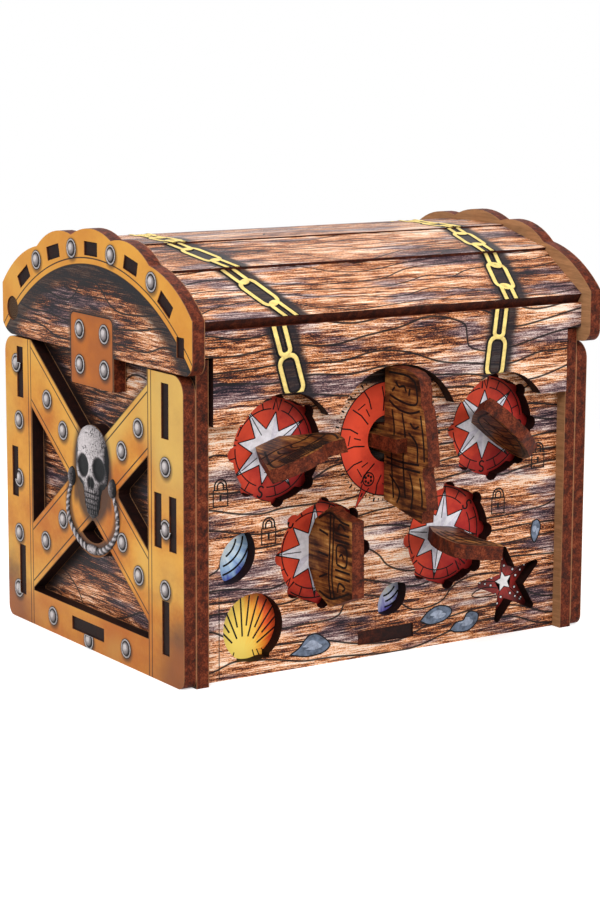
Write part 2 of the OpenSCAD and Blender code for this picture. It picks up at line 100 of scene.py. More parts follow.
# Tabs of the walls and of the floor that come through the sides, as (y, z, width, height)
WALL_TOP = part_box("side_panel_left")[1].z / MM
TAB = 15.3
LOW_TAB, MID_TAB, TOP_TAB = 7.9, (WALL_TOP - TAB) / 2, WALL_TOP - 6.9 - TAB
REAR_SLOT = REAR_Y - BOARD
SIDE_TABS = [(PANEL_Y, MID_TAB), (PANEL_Y + BOARD, LOW_TAB), (PANEL_Y + BOARD, TOP_TAB),
             (PANEL_Y + 2 * BOARD, MID_TAB), (REAR_SLOT, MID_TAB), (REAR_SLOT - BOARD, LOW_TAB),
             (REAR_SLOT - BOARD, TOP_TAB)]
FLOOR_TAB = (44.8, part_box("bottom_panel")[0].z / MM, 19.4, BOARD)

# Lid: the boards across it, in the side view, as (lower outer edge, slope, length)
LID_MIDDLE = 50.0
LID_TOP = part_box("slat_3")[1].z / MM
ARCH_CENTRE_Z = 38.2
ARCH_RADIUS = 75.5
SLATS = {
    "slat_5": ((-1.3, 100.8), 33, 21),
    "slat_4": ((15.9, 112.9), 13.5, 22.6),
    "slat_3": ((36.6, 118.3), 0, 26.8),
    "slat_2": ((84.1, 112.9), 166.5, 22.6),
    "slat_1": ((101.3, 100.8), 147, 21),
}
SKIRT_TOP = 98.2
PIN_CENTRE = (99.0, 94.7)
CHAIN_LOW = 79.6
# Above this height the walls' print gets painted shade, nearly black, under the lid
WALL_SHADE = 79.0

# Chains: where each runs over the skirt and the slats, as x at the lower and the upper edge
CHAIN_X = {
    "left": {"skirt": (35.1, 29.5), "slat_5": (33.4, 24.0), "slat_4": (25.4, 18.6), "slat_3": (20.6, 23.0),
             "slat_2": (19.0, 24.0), "slat_1": (24.5, 31.0)},
    "right": {"skirt": (103.3, 105.7), "slat_5": (109.2, 114.6), "slat_4": (113.6, 116.4),
              "slat_3": (117.0, 118.5), "slat_2": (116.4, 113.6), "slat_1": (114.6, 109.2)},
}
# The same runs for their printed shadow: height across the lid's boards and x, as shares of these
ACROSS_SPAN, X_SPAN = 130, 140
LID_HEIGHTS = {"skirt": (28.3, 46.9), "slat_5": (49.5, 78.5), "slat_4": (78.8, 106.1), "slat_3": (106.2, 119)}
CHAIN_PATHS = [[(height / ACROSS_SPAN, x / X_SPAN) for board_name, heights in LID_HEIGHTS.items()
                for height, x in zip(heights, runs[board_name])] for runs in CHAIN_X.values()]


# ---- Node trees written as expressions ----

class Link:
    """A node's output that takes part in Python arithmetic."""

    def __init__(self, tree, socket):
        self.tree = tree
        self.socket = socket

    def calc(self, operation, *values):
        """A Math node on some values or links."""
        return self.tree.add("ShaderNodeMath", {"operation": operation}, values)

    def other(self, name):
        """Another output of the same node."""
        return Link(self.tree, self.socket.node.outputs[name])

    def __add__(self, value):
        return self.calc("ADD", self, value)

    __radd__ = __add__

    def __mul__(self, value):
        return self.calc("MULTIPLY", self, value)

    __rmul__ = __mul__

    def __sub__(self, value):
        return self.calc("SUBTRACT", self, value)

    def __rsub__(self, value):
        return self.calc("SUBTRACT", value, self)

    def __truediv__(self, value):
        return self.calc("DIVIDE", self, value)

    def __pow__(self, value):
        return self.calc("POWER", self, value)

    def __abs__(self):
        return self.calc("ABSOLUTE", self)

    def __neg__(self):
        return self.calc("MULTIPLY", self, -1)

    def __gt__(self, value):
        return self.calc("GREATER_THAN", self, value)

    def __lt__(self, value):
        return self.calc("LESS_THAN", self, value)

    def least(self, value):
        return self.calc("MINIMUM", self, value)

    def most(self, value):
        return self.calc("MAXIMUM", self, value)

    def part(self):
        """What is left over a whole number."""
        return self.calc("FRACT", self)

    def smooth(self, low, high):
        """0 up to low, 1 from high on, and an even turn between them; high may be below low."""
        sign = 1 if high > low else -1
        return self.tree.add("ShaderNodeMapRange", {"interpolation_type": "SMOOTHSTEP"},
                             [self * sign, low * sign, high * sign, 0, 1])


class Tree:
    """Adds nodes to one node tree, with each socket given as a value or a link."""

    def __init__(self, node_tree):
        self.nodes = node_tree.nodes
        self.links = node_tree.links

    def add(self, kind, settings=None, values=(), output=0):
        """Adds a node: its settings first, then the values or links of its sockets."""
        node = self.nodes.new(kind)
        for key, value in (settings or {}).items():
            if key == "stops":
                self.set_stops(node.color_ramp, value)
            elif key == "curve":
                self.set_curve(node.mapping, value)
            else:
                setattr(node, key, value)
        pairs = values.items() if isinstance(values, dict) else enumerate(values)
        for key, value in pairs:
            if isinstance(value, Link):
                self.links.new(value.socket, node.inputs[key])
            elif value is not None:
                node.inputs[key].default_value = value
        return Link(self, node.outputs[output]) if len(node.outputs) else node

    @staticmethod
    def set_stops(ramp, stops):
        while len(ramp.elements) < len(stops):
            ramp.elements.new(1)
        for element, (position, colour) in zip(ramp.elements, stops):
            element.position = position
            element.color = (*colour[:3], 1)

    @staticmethod
    def set_curve(mapping, points):
        curve = mapping.curves[0]
        while len(curve.points) < len(points):
            curve.points.new(1, 1)
        for point, place in zip(curve.points, points):
            point.location = place
            point.handle_type = "VECTOR"
        mapping.update()

    def mix(self, factor, first, second):
        """A colour between first and second."""
        values = {0: factor, 6: opaque(first), 7: opaque(second)}
        return self.add("ShaderNodeMix", {"data_type": "RGBA"}, values, 2)

    def ramp(self, value, stops):
        return self.add("ShaderNodeValToRGB", {"stops": stops}, [value])

    def noise(self, point, detail=3, roughness=0.5):
        values = {"Vector": point, "Scale": 1, "Detail": detail, "Roughness": roughness}
        return self.add("ShaderNodeTexNoise", {}, values)

    def stretched(self, u, v, along, across, shift=0, detail=3, roughness=0.5):
        """Noise about 0 on two coordinates, with its own scale, per millimetre, on each."""
        point = self.add("ShaderNodeCombineXYZ", {}, [u * along, v * across, shift])
        return self.noise(point, detail, roughness) - 0.5


def opaque(colour):
    """A colour for a socket that also wants alpha; a link is left as it is."""
    return colour if isinstance(colour, Link) else (*tuple(colour)[:3], 1)


class Surface:
    """A material in the making: object coordinates in chest millimetres, and the face's direction."""

    def __init__(self, name):
        self.material = bpy.data.materials.new(name)
        self.material.use_nodes = True
        self.tree = Tree(self.material.node_tree)
        self.tree.nodes.clear()
        place = self.tree.add("ShaderNodeTexCoord", {}, (), "Object")
        direction = place.other("Normal")
        axes = self.tree.add("ShaderNodeSeparateXYZ", {}, [place])
        self.point = place
        self.from_middle = axes * (1 / MM)
        self.x = self.from_middle + MIDDLE
        self.y = axes.other("Y") * (1 / MM) + FRONT_EDGE
        self.z = axes.other("Z") * (1 / MM)
        turn = self.tree.add("ShaderNodeSeparateXYZ", {}, [direction])
        self.nx = turn
        self.ny = turn.other("Y")
        self.nz = turn.other("Z")

    def scaled(self, scale):
        """The object coordinates times a number, for noise in three directions."""
        return self.tree.add("ShaderNodeVectorMath", {"operation": "SCALE"}, {0: self.point, "Scale": scale})

    def finish(self, colour, roughness, bump=None, height=0.00005, coat=0.0, metallic=0.0):
        """Ends the material with its shader; bump lifts the face by up to height, in metres."""
        values = {"Base Color": colour, "Roughness": roughness, "Metallic": metallic,
                  "Specular IOR Level": 0.12, "Coat Weight": coat, "Coat Roughness": 0.3}
        if bump is not None:
            values["Normal"] = self.tree.add("ShaderNodeBump", {},
                                             {"Strength": 1, "Distance": height, "Height": bump})
        shader = self.tree.add("ShaderNodeBsdfPrincipled", {}, values)
        self.tree.add("ShaderNodeOutputMaterial", {}, {"Surface": shader})
        return self.material


# ---- Printed and burnt finishes ----

def plank_print(tree, u, v, seed, looks, light=0.0):
    """Driftwood print: streaks along u, cold grey patches, and thin black lines round knots."""
    streak = tree.stretched(u, v, 0.045, 0.9, seed, 5, 0.6)
    fibre = tree.stretched(u, v, 0.16, 3.4, seed + 10, 4, 0.62)
    speck = tree.stretched(u, v, 1.6, 4.5, seed + 15, 3, 0.7)
    patch = tree.stretched(u, v, 0.022, 0.08, seed + 20, 4, 0.55)
    tone = streak * 1.8 + fibre * 2.3 + speck * 1.6 + patch * 1.6 + (looks.plank_tone + light)
    warm = tree.ramp(tone, [(0.08, (0.006, 0.003, 0.004)), (0.26, (0.045, 0.012, 0.009)),
                            (0.4, looks.plank_dark), (0.54, (0.60, 0.19, 0.05)),
                            (0.74, looks.plank_light), (0.98, (0.97, 0.80, 0.66))])
    cold = tree.ramp(tone, [(0.1, (0.006, 0.005, 0.009)), (0.45, (0.050, 0.036, 0.058)),
                            (0.7, (0.22, 0.155, 0.18)), (0.95, (0.78, 0.64, 0.60))])
    cold_patch = tree.stretched(u, v, 0.025, 0.12, seed + 30, 3, 0.6).smooth(-0.01, 0.1)
    colour = tree.mix(cold_patch * 0.85, warm, cold)
    return tree.mix(grain_lines(tree, u, v, seed + 40) * 0.95, colour, looks.ink)


def grain_lines(tree, u, v, seed, width=0.37):
    """Black lines of even width: level lines of a height that rises across the grain."""
    def height(right, up):
        return up * 0.16 + tree.stretched(right, up, 0.022, 0.05, seed, 1.0, 0.4) * 4.8

    step = 0.25
    here = height(u, v)
    right = (height(u + step, v) - here) / step
    up = (height(u, v + step) - here) / step
    steepness = ((right * right + up * up) ** 0.5).most(0.03)
    distance = abs(here.part() - 0.5) / steepness
    return distance.smooth(width, width * 0.55)


def gold_print(tree, u, v, seed, looks):
    """Warm brass-coloured print with soft clouds, yellower patches and smoky stains."""
    cloud = tree.stretched(u, v, 0.035, 0.045, seed, 4, 0.55)
    grit = tree.stretched(u, v, 0.9, 0.9, seed + 5, 3, 0.6)
    colour = tree.mix((cloud * 2.6 + 0.45 + grit * 0.3).smooth(0, 1), looks.gold_dark, looks.gold_light)
    yellow = tree.stretched(u, v, 0.02, 0.022, seed + 7, 2, 0.5)
    colour = tree.mix(yellow.smooth(0.02, 0.2) * 0.7, colour, (0.76, 0.53, 0.14))
    stain = tree.stretched(u, v, 0.06, 0.075, seed + 9, 5, 0.62)
    return tree.mix((stain + grit * 0.12).smooth(0.16, 0.3) * 0.8, colour, looks.smoke)


def rivet_shade(surface, spots, colour, looks):
    """Soft printed shadows round a list of rivets, a little below each."""
    tree = surface.tree
    place = tree.add("ShaderNodeCombineXYZ", {}, [surface.y, surface.z, 0.0])
    nearest = None
    for y, z in spots:
        reach = tree.add("ShaderNodeVectorMath", {"operation": "DISTANCE"},
                         {0: place, 1: (y - 0.3, z - 0.5, 0)}, "Value")
        nearest = reach if nearest is None else nearest.least(reach)
    return tree.mix(nearest.smooth(RIVET_REACH + 1.3, RIVET_REACH - 0.4) * 0.75, colour, looks.smoke)


def burnt_edge(surface, looks, edge_shade=None):
    """A laser-cut edge: reddish char with darker specks and paler scuffs; where the last argument is given,
    painted shade darkens the edge almost to black.
    """
    tree = surface.tree
    wide = tree.noise(surface.scaled(420), 6, 0.68)
    tone = wide + (tree.noise(surface.scaled(2100), 3, 0.6) - 0.5) * 0.6
    colour = tree.ramp(tone, [(0.3, (0.016, 0.004, 0.002)), (0.46, looks.burnt), (0.6, (0.145, 0.026, 0.009)),
                              (0.8, (0.25, 0.070, 0.028))])
    return colour if edge_shade is None else tree.mix(edge_shade * 0.93, colour, (0.005, 0.002, 0.002))


def pale_rim(surface, colour, offset, looks):
    """Catches the light where two stacked side boards meet, at every board's thickness."""
    from_side = MIDDLE - abs(surface.from_middle) + offset
    near = abs((from_side / BOARD + 0.5).part() - 0.5)
    return surface.tree.mix(near.smooth(0.07, 0.03) * 0.5, colour, looks.bare)


def bare_face(tree, u, v, seed, looks):
    """Unprinted plywood face with a faint grain."""
    grain = tree.stretched(u, v, 0.05, 0.7, seed, 5, 0.6)
    pores = tree.stretched(u, v, 0.3, 3.0, seed + 3, 3, 0.6)
    tone = (grain * 1.6 + pores * 0.9 + 0.5).smooth(0, 1)
    dark = tuple(value * 0.55 for value in looks.bare)
    return tree.mix(tone, dark, looks.bare)


def board(surface, printed, bare, print_colour, bare_colour, looks, edge_offset=None, edge_shade=None):
    """Joins a board's printed face, its bare face and its burnt edges into one finish."""
    tree = surface.tree
    edge = burnt_edge(surface, looks, edge_shade)
    if edge_offset is not None:
        edge = pale_rim(surface, edge, edge_offset, looks)
    colour = tree.mix(printed, tree.mix(bare, edge, bare_colour), print_colour)
    grit = tree.noise(surface.scaled(1500), 3, 0.6)
    roughness = 0.62 - printed * 0.2 + (grit - 0.5) * 0.2
    return surface.finish(colour, roughness, grit, 0.00003)


def side_masks(surface, tight=0.75):
    """Where a board across X shows its outer face, and where its inner one."""
    outward = surface.nx * surface.from_middle
    face = abs(surface.nx) > tight
    return face * (outward > 0), face * (outward < 0)


def brace_distances(surface):
    """Distance from the middle line of each of the two crossed braces."""
    rise = math.radians(BRACE_ANGLE)
    y, z = surface.y - CROSSING[0], surface.z - CROSSING[1]
    return [abs(y * (side * math.sin(rise)) + z * math.cos(rise)) for side in (-1, 1)]


def frame_lines(surface):
    """Black lines along the posts and both edges of each brace of a side frame."""
    y, z = surface.y, surface.z
    inside = (y > FRONT_POST) * (y < DEPTH - REAR_POST) * (z > RAIL)
    across = brace_distances(surface)
    lines = None
    for own, crossed in ((0, 1), (1, 0)):
        line = abs(across[own] - (BRACE_HALF - 1.7)).smooth(0.28, 0.14)
        rim = across[own].smooth(BRACE_HALF - 0.3, BRACE_HALF - 0.1) * 0.6
        line = line.most(rim) * inside * (across[crossed] > BRACE_HALF)
        lines = line if lines is None else lines.most(line)
    for place in (FRONT_POST - 0.3, FRONT_POST - 2.0, DEPTH - REAR_POST + 0.3, DEPTH - REAR_POST + 1.9):
        lines = lines.most(abs(y - place).smooth(0.26, 0.13))
    return lines


def skull_shade(surface):
    """How strong the painted shadow is round the skull and the ring."""
    y, z = surface.y - CROSSING[0], surface.z
    skull = ((y / 10.2) ** 2 + ((z - 53.2) / 14.2) ** 2) ** 0.5
    hoop = abs(((y / 14.4) ** 2 + ((z - 42.2) / 11.9) ** 2) ** 0.5 - 1) * 13
    hoop = hoop.smooth(2.6, 0.8) * (z < 52)
    gap = (abs(abs(y) - 8.4).smooth(4.4, 1.6)) * abs(z - 47.0).smooth(6.6, 2.6)
    return skull.smooth(1.26, 1.0).most(hoop * 0.9).most(gap * 0.95)


def gold_frame(looks):
    """Finish of the two side frames."""
    surface = Surface("printed_side_frame")
    tree = surface.tree
    y, z = surface.y, surface.z
    outer, inner = side_masks(surface)
    colour = gold_print(tree, y, z, 1.0, looks)
    colour = tree.mix(y.smooth(20, 12) * z.smooth(40, 62) * 0.6, colour, (0.72, 0.52, 0.15))
    corners = (y.smooth(24, 0)).most(y.smooth(DEPTH - 24, DEPTH)) * z.smooth(36, 0)
    smoke = tree.stretched(y, z, 0.05, 0.06, 4.0, 5, 0.6)
    worn = smoke * 1.2 + corners * 1.1 + z.smooth(12, 0) * 0.16
    colour = tree.mix(worn.smooth(0.05, 0.95) * 0.9, colour, (0.095, 0.042, 0.027))
    rail = z.smooth(15, 8) * (smoke + 0.6).smooth(0, 1)
    colour = tree.mix(rail * 0.75, colour, (0.46, 0.125, 0.022))
    colour = tree.mix(frame_lines(surface) * 0.95, colour, looks.ink)
    colour = rivet_shade(surface, FRAME_RIVETS, colour, looks)
    colour = tree.mix(skull_shade(surface) * 0.9, colour, looks.smoke)
    bare = bare_face(tree, y, z, 6.0, looks)
    # The frame's cut edges inside its openings get painted shade, near black, over their char.
    recess = (y > FRONT_POST - 1) * (y < DEPTH - REAR_POST + 1) * (z > RAIL - 1)
    return board(surface, outer, inner, colour, bare, looks, 0.0, recess)


def plate_distance(surface):
    """Distance from the edge of the lid's printed hasp plate: below zero inside it."""
    middle = [(low + high) / 2 for low, high in zip(PLATE_LOW, PLATE_HIGH)]
    half = [(high - low) / 2 - PLATE_ROUND for low, high in zip(PLATE_LOW, PLATE_HIGH)]
    out_y = (abs(surface.y - middle[0]) - half[0]).most(0)
    out_z = (abs(surface.z - middle[1]) - half[1]).most(0)
    return (out_y * out_y + out_z * out_z) ** 0.5 - PLATE_ROUND


def lid_end_print(looks):
    """Finish of the two lid ends: a gold band over planks, and the hasp plate with its painted shadow."""
    surface = Surface("printed_lid_end")
    tree = surface.tree
    outer, inner = side_masks(surface)
    y, z = surface.y, surface.z
    radius = ((y - (LID_MIDDLE - 0.6)) ** 2 + (z - ARCH_CENTRE_Z) ** 2) ** 0.5
    planks = plank_print(tree, y, z, 51.0, looks, -0.17)
    shade = (radius.smooth(ARCH_RADIUS - 11, ARCH_RADIUS - 2.5)).most(z.smooth(91, 87.5) * 0.25)
    shade_mottle = tree.stretched(y, z, 0.05, 0.09, 57.0, 4, 0.6)
    planks = tree.mix((shade + shade_mottle).smooth(0.1, 0.8) * 0.92, planks, (0.008, 0.007, 0.009))
    gold = tree.mix(0.5, gold_print(tree, y, z, 12.0, looks), looks.gold_light)
    gold = rivet_shade(surface, LID_RIVETS, gold, looks)
    colour = tree.mix(radius < ARCH_RADIUS - 1.9, gold, planks)
    lines = abs(radius - ARCH_RADIUS).smooth(0.26, 0.13)
    lines = lines.most(abs(radius - ARCH_RADIUS + 1.9).smooth(0.34, 0.18))
    colour = tree.mix(lines * 0.95, colour, looks.ink)
    edge = plate_distance(surface)
    # Painted shadow round the hasp plate.
    colour = tree.mix(edge.smooth(2.2, 0.0) * 0.7, colour, looks.smoke)
    clouds = tree.stretched(y, z, 0.08, 0.08, 31.0, 4, 0.6)
    plate = tree.mix(clouds.smooth(-0.1, 0.25), looks.rust, looks.gold_dark)
    plate = tree.mix(edge.smooth(-3.0, 0.0) * 0.45, plate, (0.30, 0.085, 0.025))
    plate = rivet_shade(surface, PLATE_RIVETS, plate, looks)
    colour = tree.mix(edge < 0, colour, plate)
    colour = tree.mix(abs(edge + 0.25).smooth(0.3, 0.15), colour, looks.ink)
    bare = bare_face(tree, y, z, 8.0, looks)
    return board(surface, outer, inner, colour, bare, looks, -LID_FACE)


def inner_side(looks):
    """Finish of the inner side walls: planks outside with painted shade under the braces, near the posts and
    towards the top, and bare wood inside.
    """
    surface = Surface("printed_inner_side")
    tree = surface.tree
    outer, inner = side_masks(surface)
    y, z = surface.y, surface.z
    # The planks are a little darker overall, as painted shade in the frame's openings.
    planks = plank_print(tree, y, z, 33.0, looks, -0.18)
    rising, falling = brace_distances(surface)
    shade = rising.least(falling).smooth(BRACE_HALF + 8, BRACE_HALF + 0.5).most(z.smooth(74, 90) * 0.9)
    shade = shade.most(abs(y - 53.5).smooth(29, 35))
    shade_mottle = tree.stretched(y, z, 0.07, 0.12, 36.0, 4, 0.6)
    planks = tree.mix((shade + shade_mottle * 0.8).smooth(0.1, 1.0) * 0.93, planks, (0.008, 0.005, 0.005))
    bare = bare_face(tree, y, z, 9.0, looks)
    return board(surface, outer, inner, planks, bare, looks, 0.0)


def upright_board(name, looks, printed_side, seed, light=0.0, darkening=0.0):
    """Finish of a board across Y: printed_side -1 prints its front, 1 its rear, 0 neither."""
    surface = Surface(name)
    tree = surface.tree
    face = abs(surface.ny) > 0.75
    # Tab ends sit in the side frames' slots and get painted shade, near black, over their char.
    tab_end = abs(surface.nx) > 0.9
    bare = bare_face(tree, surface.x, surface.z, seed, looks)
    if printed_side == 0:
        return board(surface, face * 0, face, bare, bare, looks, None, tab_end)
    printed = face * (surface.ny * printed_side > 0)
    lighter = surface.from_middle * (-0.0011) + light
    planks = plank_print(tree, surface.x, surface.z, seed, looks, lighter)
    # Painted shade under the lid: the print goes nearly black above WALL_SHADE.
    under_lid = surface.z.smooth(WALL_SHADE - 0.6, WALL_SHADE + 0.6)
    planks = tree.mix(under_lid * 0.95, planks, (0.006, 0.004, 0.004))
    # The cut edges inside the chest get painted shade, near black, as well.
    inside = (abs(surface.from_middle) < MIDDLE - 7) * (surface.z > 2)
    # darkening dims the whole print towards black; on the backing behind the front wall's holes it is painted
    # shade.
    if darkening:
        planks = tree.mix(darkening, planks, (0.006, 0.004, 0.004))
    return board(surface, printed, face * (surface.ny * printed_side < 0), planks, bare, looks, None,
                 tab_end.most(inside))


def chain_shade(tree, surface, across, colour):
    """A printed shadow beside the two chains on the front half of the lid."""
    shade = None
    for points in CHAIN_PATHS:
        bend = tree.add("ShaderNodeFloatCurve", {"curve": points}, {"Value": across / ACROSS_SPAN})
        near = abs(surface.x - bend * X_SPAN - 0.8).smooth(7.5, 3.0)
        shade = near if shade is None else shade.most(near)
    shade_mottle = tree.stretched(surface.x, across, 0.2, 0.2, 77.0, 3, 0.6)
    shade = (shade + shade_mottle * shade).smooth(0.1, 0.9) * (surface.y < LID_MIDDLE)
    return tree.mix(shade * 0.96, colour, (0.012, 0.009, 0.012))


def lid_board(name, looks, printed_face, light=0.0):
    """Finish of a board over the lid; printed_face gives its printed and its bare side."""
    surface = Surface(name)
    tree = surface.tree
    outer, inner = printed_face(surface)
    across = surface.z - abs(surface.y - LID_MIDDLE)
    across = across + (surface.y > LID_MIDDLE) * ((LID_TOP - across) * 2)
    planks = plank_print(tree, surface.x, across, 71.0, looks, light)
    planks = chain_shade(tree, surface, across, planks)
    bare = bare_face(tree, surface.x, across, 14.0, looks)
    below = (surface.nz < -0.1) * (surface.z < 96)
    shaded = (abs(surface.nx) > 0.9).most((surface.nz < 0.5) * 0.6).most(below)
    return board(surface, outer, inner, planks, bare, looks, None, shaded)


def upward(surface):
    """Printed on top, bare below."""
    return surface.nz > 0.7, surface.nz < -0.7


def forward(surface):
    """Printed in front, bare behind."""
    return surface.ny < -0.75, surface.ny > 0.75


def backward(surface):
    """Printed behind, bare in front."""
    return surface.ny > 0.75, surface.ny < -0.75


def floor_board(looks):
    """Finish of the chest's floor."""
    surface = Surface("bare_floor")
    face = abs(surface.nz) > 0.75
    bare = bare_face(surface.tree, surface.x, surface.y, 17.0, looks)
    # The floor's end edges, which sit in the side frames' slots, get painted shade over their char, as do its
    # front and rear edges towards the right.
    ends = (abs(surface.nx) > 0.9).most((abs(surface.ny) > 0.9) * surface.x.smooth(48, 74))
    return board(surface, face * 0, face, bare, bare, looks, None, ends)


def round_wood(looks):
    """End grain of the hinge pins, dark as their wood and darkened further by painted shade in their holes.
    """
    surface = Surface("pin_end_grain")
    radius = ((surface.y - PIN_CENTRE[0]) ** 2 + (surface.z - PIN_CENTRE[1]) ** 2) ** 0.5
    rings = (radius * 1.7 + surface.tree.stretched(surface.y, surface.z, 0.5, 0.5, 2.0, 3, 0.5) * 2).part()
    dark = tuple(value * 0.06 for value in looks.bare)
    colour = surface.tree.mix(rings.smooth(0.1, 0.9), dark, tuple(value * 0.2 for value in looks.bare))
    return surface.finish(colour, 0.65, rings, 0.00004)


def compass_print(name, centre, looks, rim_shade_strength=1.0):
    """Red lacquer print of a dial with painted light, brightest high on the left, painted shade at its rim,
    and dust.
    """
    surface = Surface(name)
    tree = surface.tree
    across, up = surface.x - centre[0], surface.z - centre[1]
    radius = (across ** 2 + up ** 2) ** 0.5
    lit = ((up * 0.6 - across) / 16 + tree.stretched(surface.x, surface.z, 0.16, 0.16, 3.0, 4, 0.6) * 2.2)
    colour = tree.mix(lit.smooth(-0.9, 0.9), looks.red_dark, looks.red_light)
    colour = tree.mix(radius.smooth(10.5, 16.5) * 0.6 * rim_shade_strength, colour, looks.red_rim_shade)
    face = abs(surface.ny) > 0.75
    bare = bare_face(tree, surface.x, surface.z, 21.0, looks)
    # The disc's cut edges get painted shade, near black, in the front wall's hole.
    return board(surface, face * (surface.ny < 0), face * (surface.ny > 0), colour, bare, looks, None, 0.75)


def token_print(name, turn, looks, seed):
    """Dark printed wood of a token, grained along the way it stands out, with burnt edges."""
    surface = Surface(name)
    tree = surface.tree
    angle = math.radians(turn)
    across = surface.x * math.cos(angle) + surface.z * math.sin(angle)
    facing = surface.nz * math.cos(angle) - surface.nx * math.sin(angle)
    streak = tree.stretched(surface.y, across, 0.06, 0.9, seed, 6, 0.65)
    blot = tree.stretched(surface.y, across, 0.10, 0.12, seed + 3, 4, 0.6)
    tone = streak * 2.0 + blot * 2.1 + 0.5
    colour = tree.ramp(tone, [(0.12, (0.018, 0.006, 0.004)), (0.38, (0.075, 0.022, 0.009)),
                              (0.6, looks.token), (0.85, (0.36, 0.15, 0.038)), (1.0, (0.55, 0.28, 0.09))])
    return board(surface, abs(facing) > 0.75, streak * 0, colour, colour, looks)


def plain_print(name, colour, wear, scale=0.6):
    """One printed colour with dust, rubbed places and a faint tooth."""
    surface = Surface(name)
    tree = surface.tree
    rub = tree.stretched(surface.x + surface.y, surface.z, scale, scale, 5.0, 5, 0.6)
    dark = tuple(value * (1 - wear) for value in colour)
    worn = tree.mix((rub * 2.4 + 0.55).smooth(0, 1), dark, colour)
    return surface.finish(worn, 0.5 + rub * 0.3, rub, 0.00002)


def dome_metal(name, looks):
    """Worn steel of the rivets with painted light: a painted highlight where it faces outward and upward,
    painted shade towards its rim.
    """
    surface = Surface(name)
    tree = surface.tree
    grit = tree.stretched(surface.y, surface.z, 1.6, 1.6, 8.0, 4, 0.6)
    facing = abs(surface.nx) + grit * 0.05 + surface.nz * 0.12
    colour = tree.ramp(facing, [(0.66, (0.018, 0.016, 0.018)), (0.86, looks.rivet),
                                (0.975, (0.30, 0.27, 0.27)),
                                (1.02, (0.62, 0.57, 0.57))])
    return surface.finish(colour, 0.45 + grit * 0.3, grit, 0.00003)


def toned_metal(name, dark, middle, light, metallic, roughness):
    """Aged metal whose colour follows the piece's own tone attribute of painted light and shade, with
    scratches.
    """
    surface = Surface(name)
    tree = surface.tree
    tone = tree.add("ShaderNodeAttribute", {"attribute_name": "tone"}, (), "Fac")
    grit = tree.stretched(surface.y, surface.z, 1.3, 1.3, 2.0, 5, 0.65)
    cracks = abs(tree.stretched(surface.y, surface.z, 0.22, 0.22, 9.0, 3, 0.6)).smooth(0.012, 0.004)
    value = tone * 1.15 - 0.12 + grit * 0.8 - cracks * 0.4
    colour = tree.ramp(value, [(0.08, dark), (0.42, middle), (0.8, light)])
    return surface.finish(colour, roughness + grit * 0.3, grit, 0.00005, 0.0, metallic)


# ---- Flat faces and what is printed on them ----

class Face:
    """A flat face of the chest: drawings on it are (right, up) in millimetres, and lift goes outward."""

    def __init__(self, origin, right, up, out):
        self.origin = Vector(origin)
        self.right = Vector(right)
        self.up = Vector(up)
        self.out = Vector(out)

    def spot(self, u, v, lift=0.0):
        """A drawing's point, in the frame's metres."""
        point = self.origin + self.right * u + self.up * v + self.out * lift
        return Vector(((point.x - MIDDLE) * MM, (point.y - FRONT_EDGE) * MM, point.z * MM))

    def matrix(self):
        """From a drawing in millimetres, with z as lift, to the frame in metres."""
        start = self.spot(0, 0)
        columns = Matrix((self.right, self.up, self.out)).transposed() * MM
        return Matrix.Translation(start) @ columns.to_4x4()


def side_face(x, sign):
    """An outer face of a side frame or a lid end, drawn as (y, z)."""
    return Face((x, 0, 0), (0, 1, 0), (0, 0, 1), (sign, 0, 0))


def front_face(y):
    """A face towards the front, drawn as (x, z)."""
    return Face((0, y, 0), (1, 0, 0), (0, 0, 1), (0, -1, 0))


def slat_face(foot, slope):
    """The outer face of a board over the lid, drawn as x and the way up from its lower edge."""
    angle = math.radians(slope)
    rise = (0, math.cos(angle), math.sin(angle))
    out = Vector((0, -math.sin(angle), math.cos(angle)))
    if out.z < 0:
        out = -out
    return Face((0, foot[0], foot[1]), (1, 0, 0), rise, out)


def token_face(centre, turn, side):
    """One side of a token's board: across the dial's axis, and out of the front wall."""
    angle = math.radians(turn)
    normal = Vector((-math.sin(angle), 0, math.cos(angle))) * side
    origin = Vector((centre[0], PANEL_Y, centre[1])) + normal * (BOARD / 2)
    return Face(origin, (math.cos(angle), 0, math.sin(angle)), (0, -1, 0), normal)


class Drawing:
    """Thin raised print on a face: filled shapes and pen lines, each a closed slab."""

    def __init__(self, face):
        self.face = face
        self.mesh = bmesh.new()

    def slab(self, outline, top=0.05, low=-0.05):
        """A filled shape with the given outline, from low to top above the face."""
        upper = [self.mesh.verts.new(self.face.spot(u, v, top)) for u, v in outline]
        lower = [self.mesh.verts.new(self.face.spot(u, v, low)) for u, v in outline]
        self.mesh.faces.new(upper)
        self.mesh.faces.new(lower[::-1])
        for i in range(len(outline)):
            j = (i + 1) % len(outline)
            self.mesh.faces.new((upper[i], lower[i], lower[j], upper[j]))

    def pen(self, points, width=0.3, top=0.08, closed=False):
        """A line of even width through the points."""
        count = len(points)
        left, right = [], []
        for i, (u, v) in enumerate(points):
            before = points[i - 1] if closed or i > 0 else points[i]
            after = points[(i + 1) % count] if closed or i < count - 1 else points[i]
            along = Vector((after[0] - before[0], after[1] - before[1])).normalized()
            left.append((u - along.y * width / 2, v + along.x * width / 2))
            right.append((u + along.y * width / 2, v - along.x * width / 2))
        last = count if closed else count - 1
        for i in range(last):
            j = (i + 1) % count
            self.slab([left[i], right[i], right[j], left[j]], top)

    def build(self, name, material, body, slot):
        """The drawing as a finished piece that rides on a body."""
        bmesh.ops.triangulate(self.mesh, faces=self.mesh.faces[:])
        bmesh.ops.recalc_face_normals(self.mesh, faces=self.mesh.faces[:])
        data = bpy.data.meshes.new(name)
        self.mesh.to_mesh(data)
        self.mesh.free()
        return add_piece(name, data, [material], body)


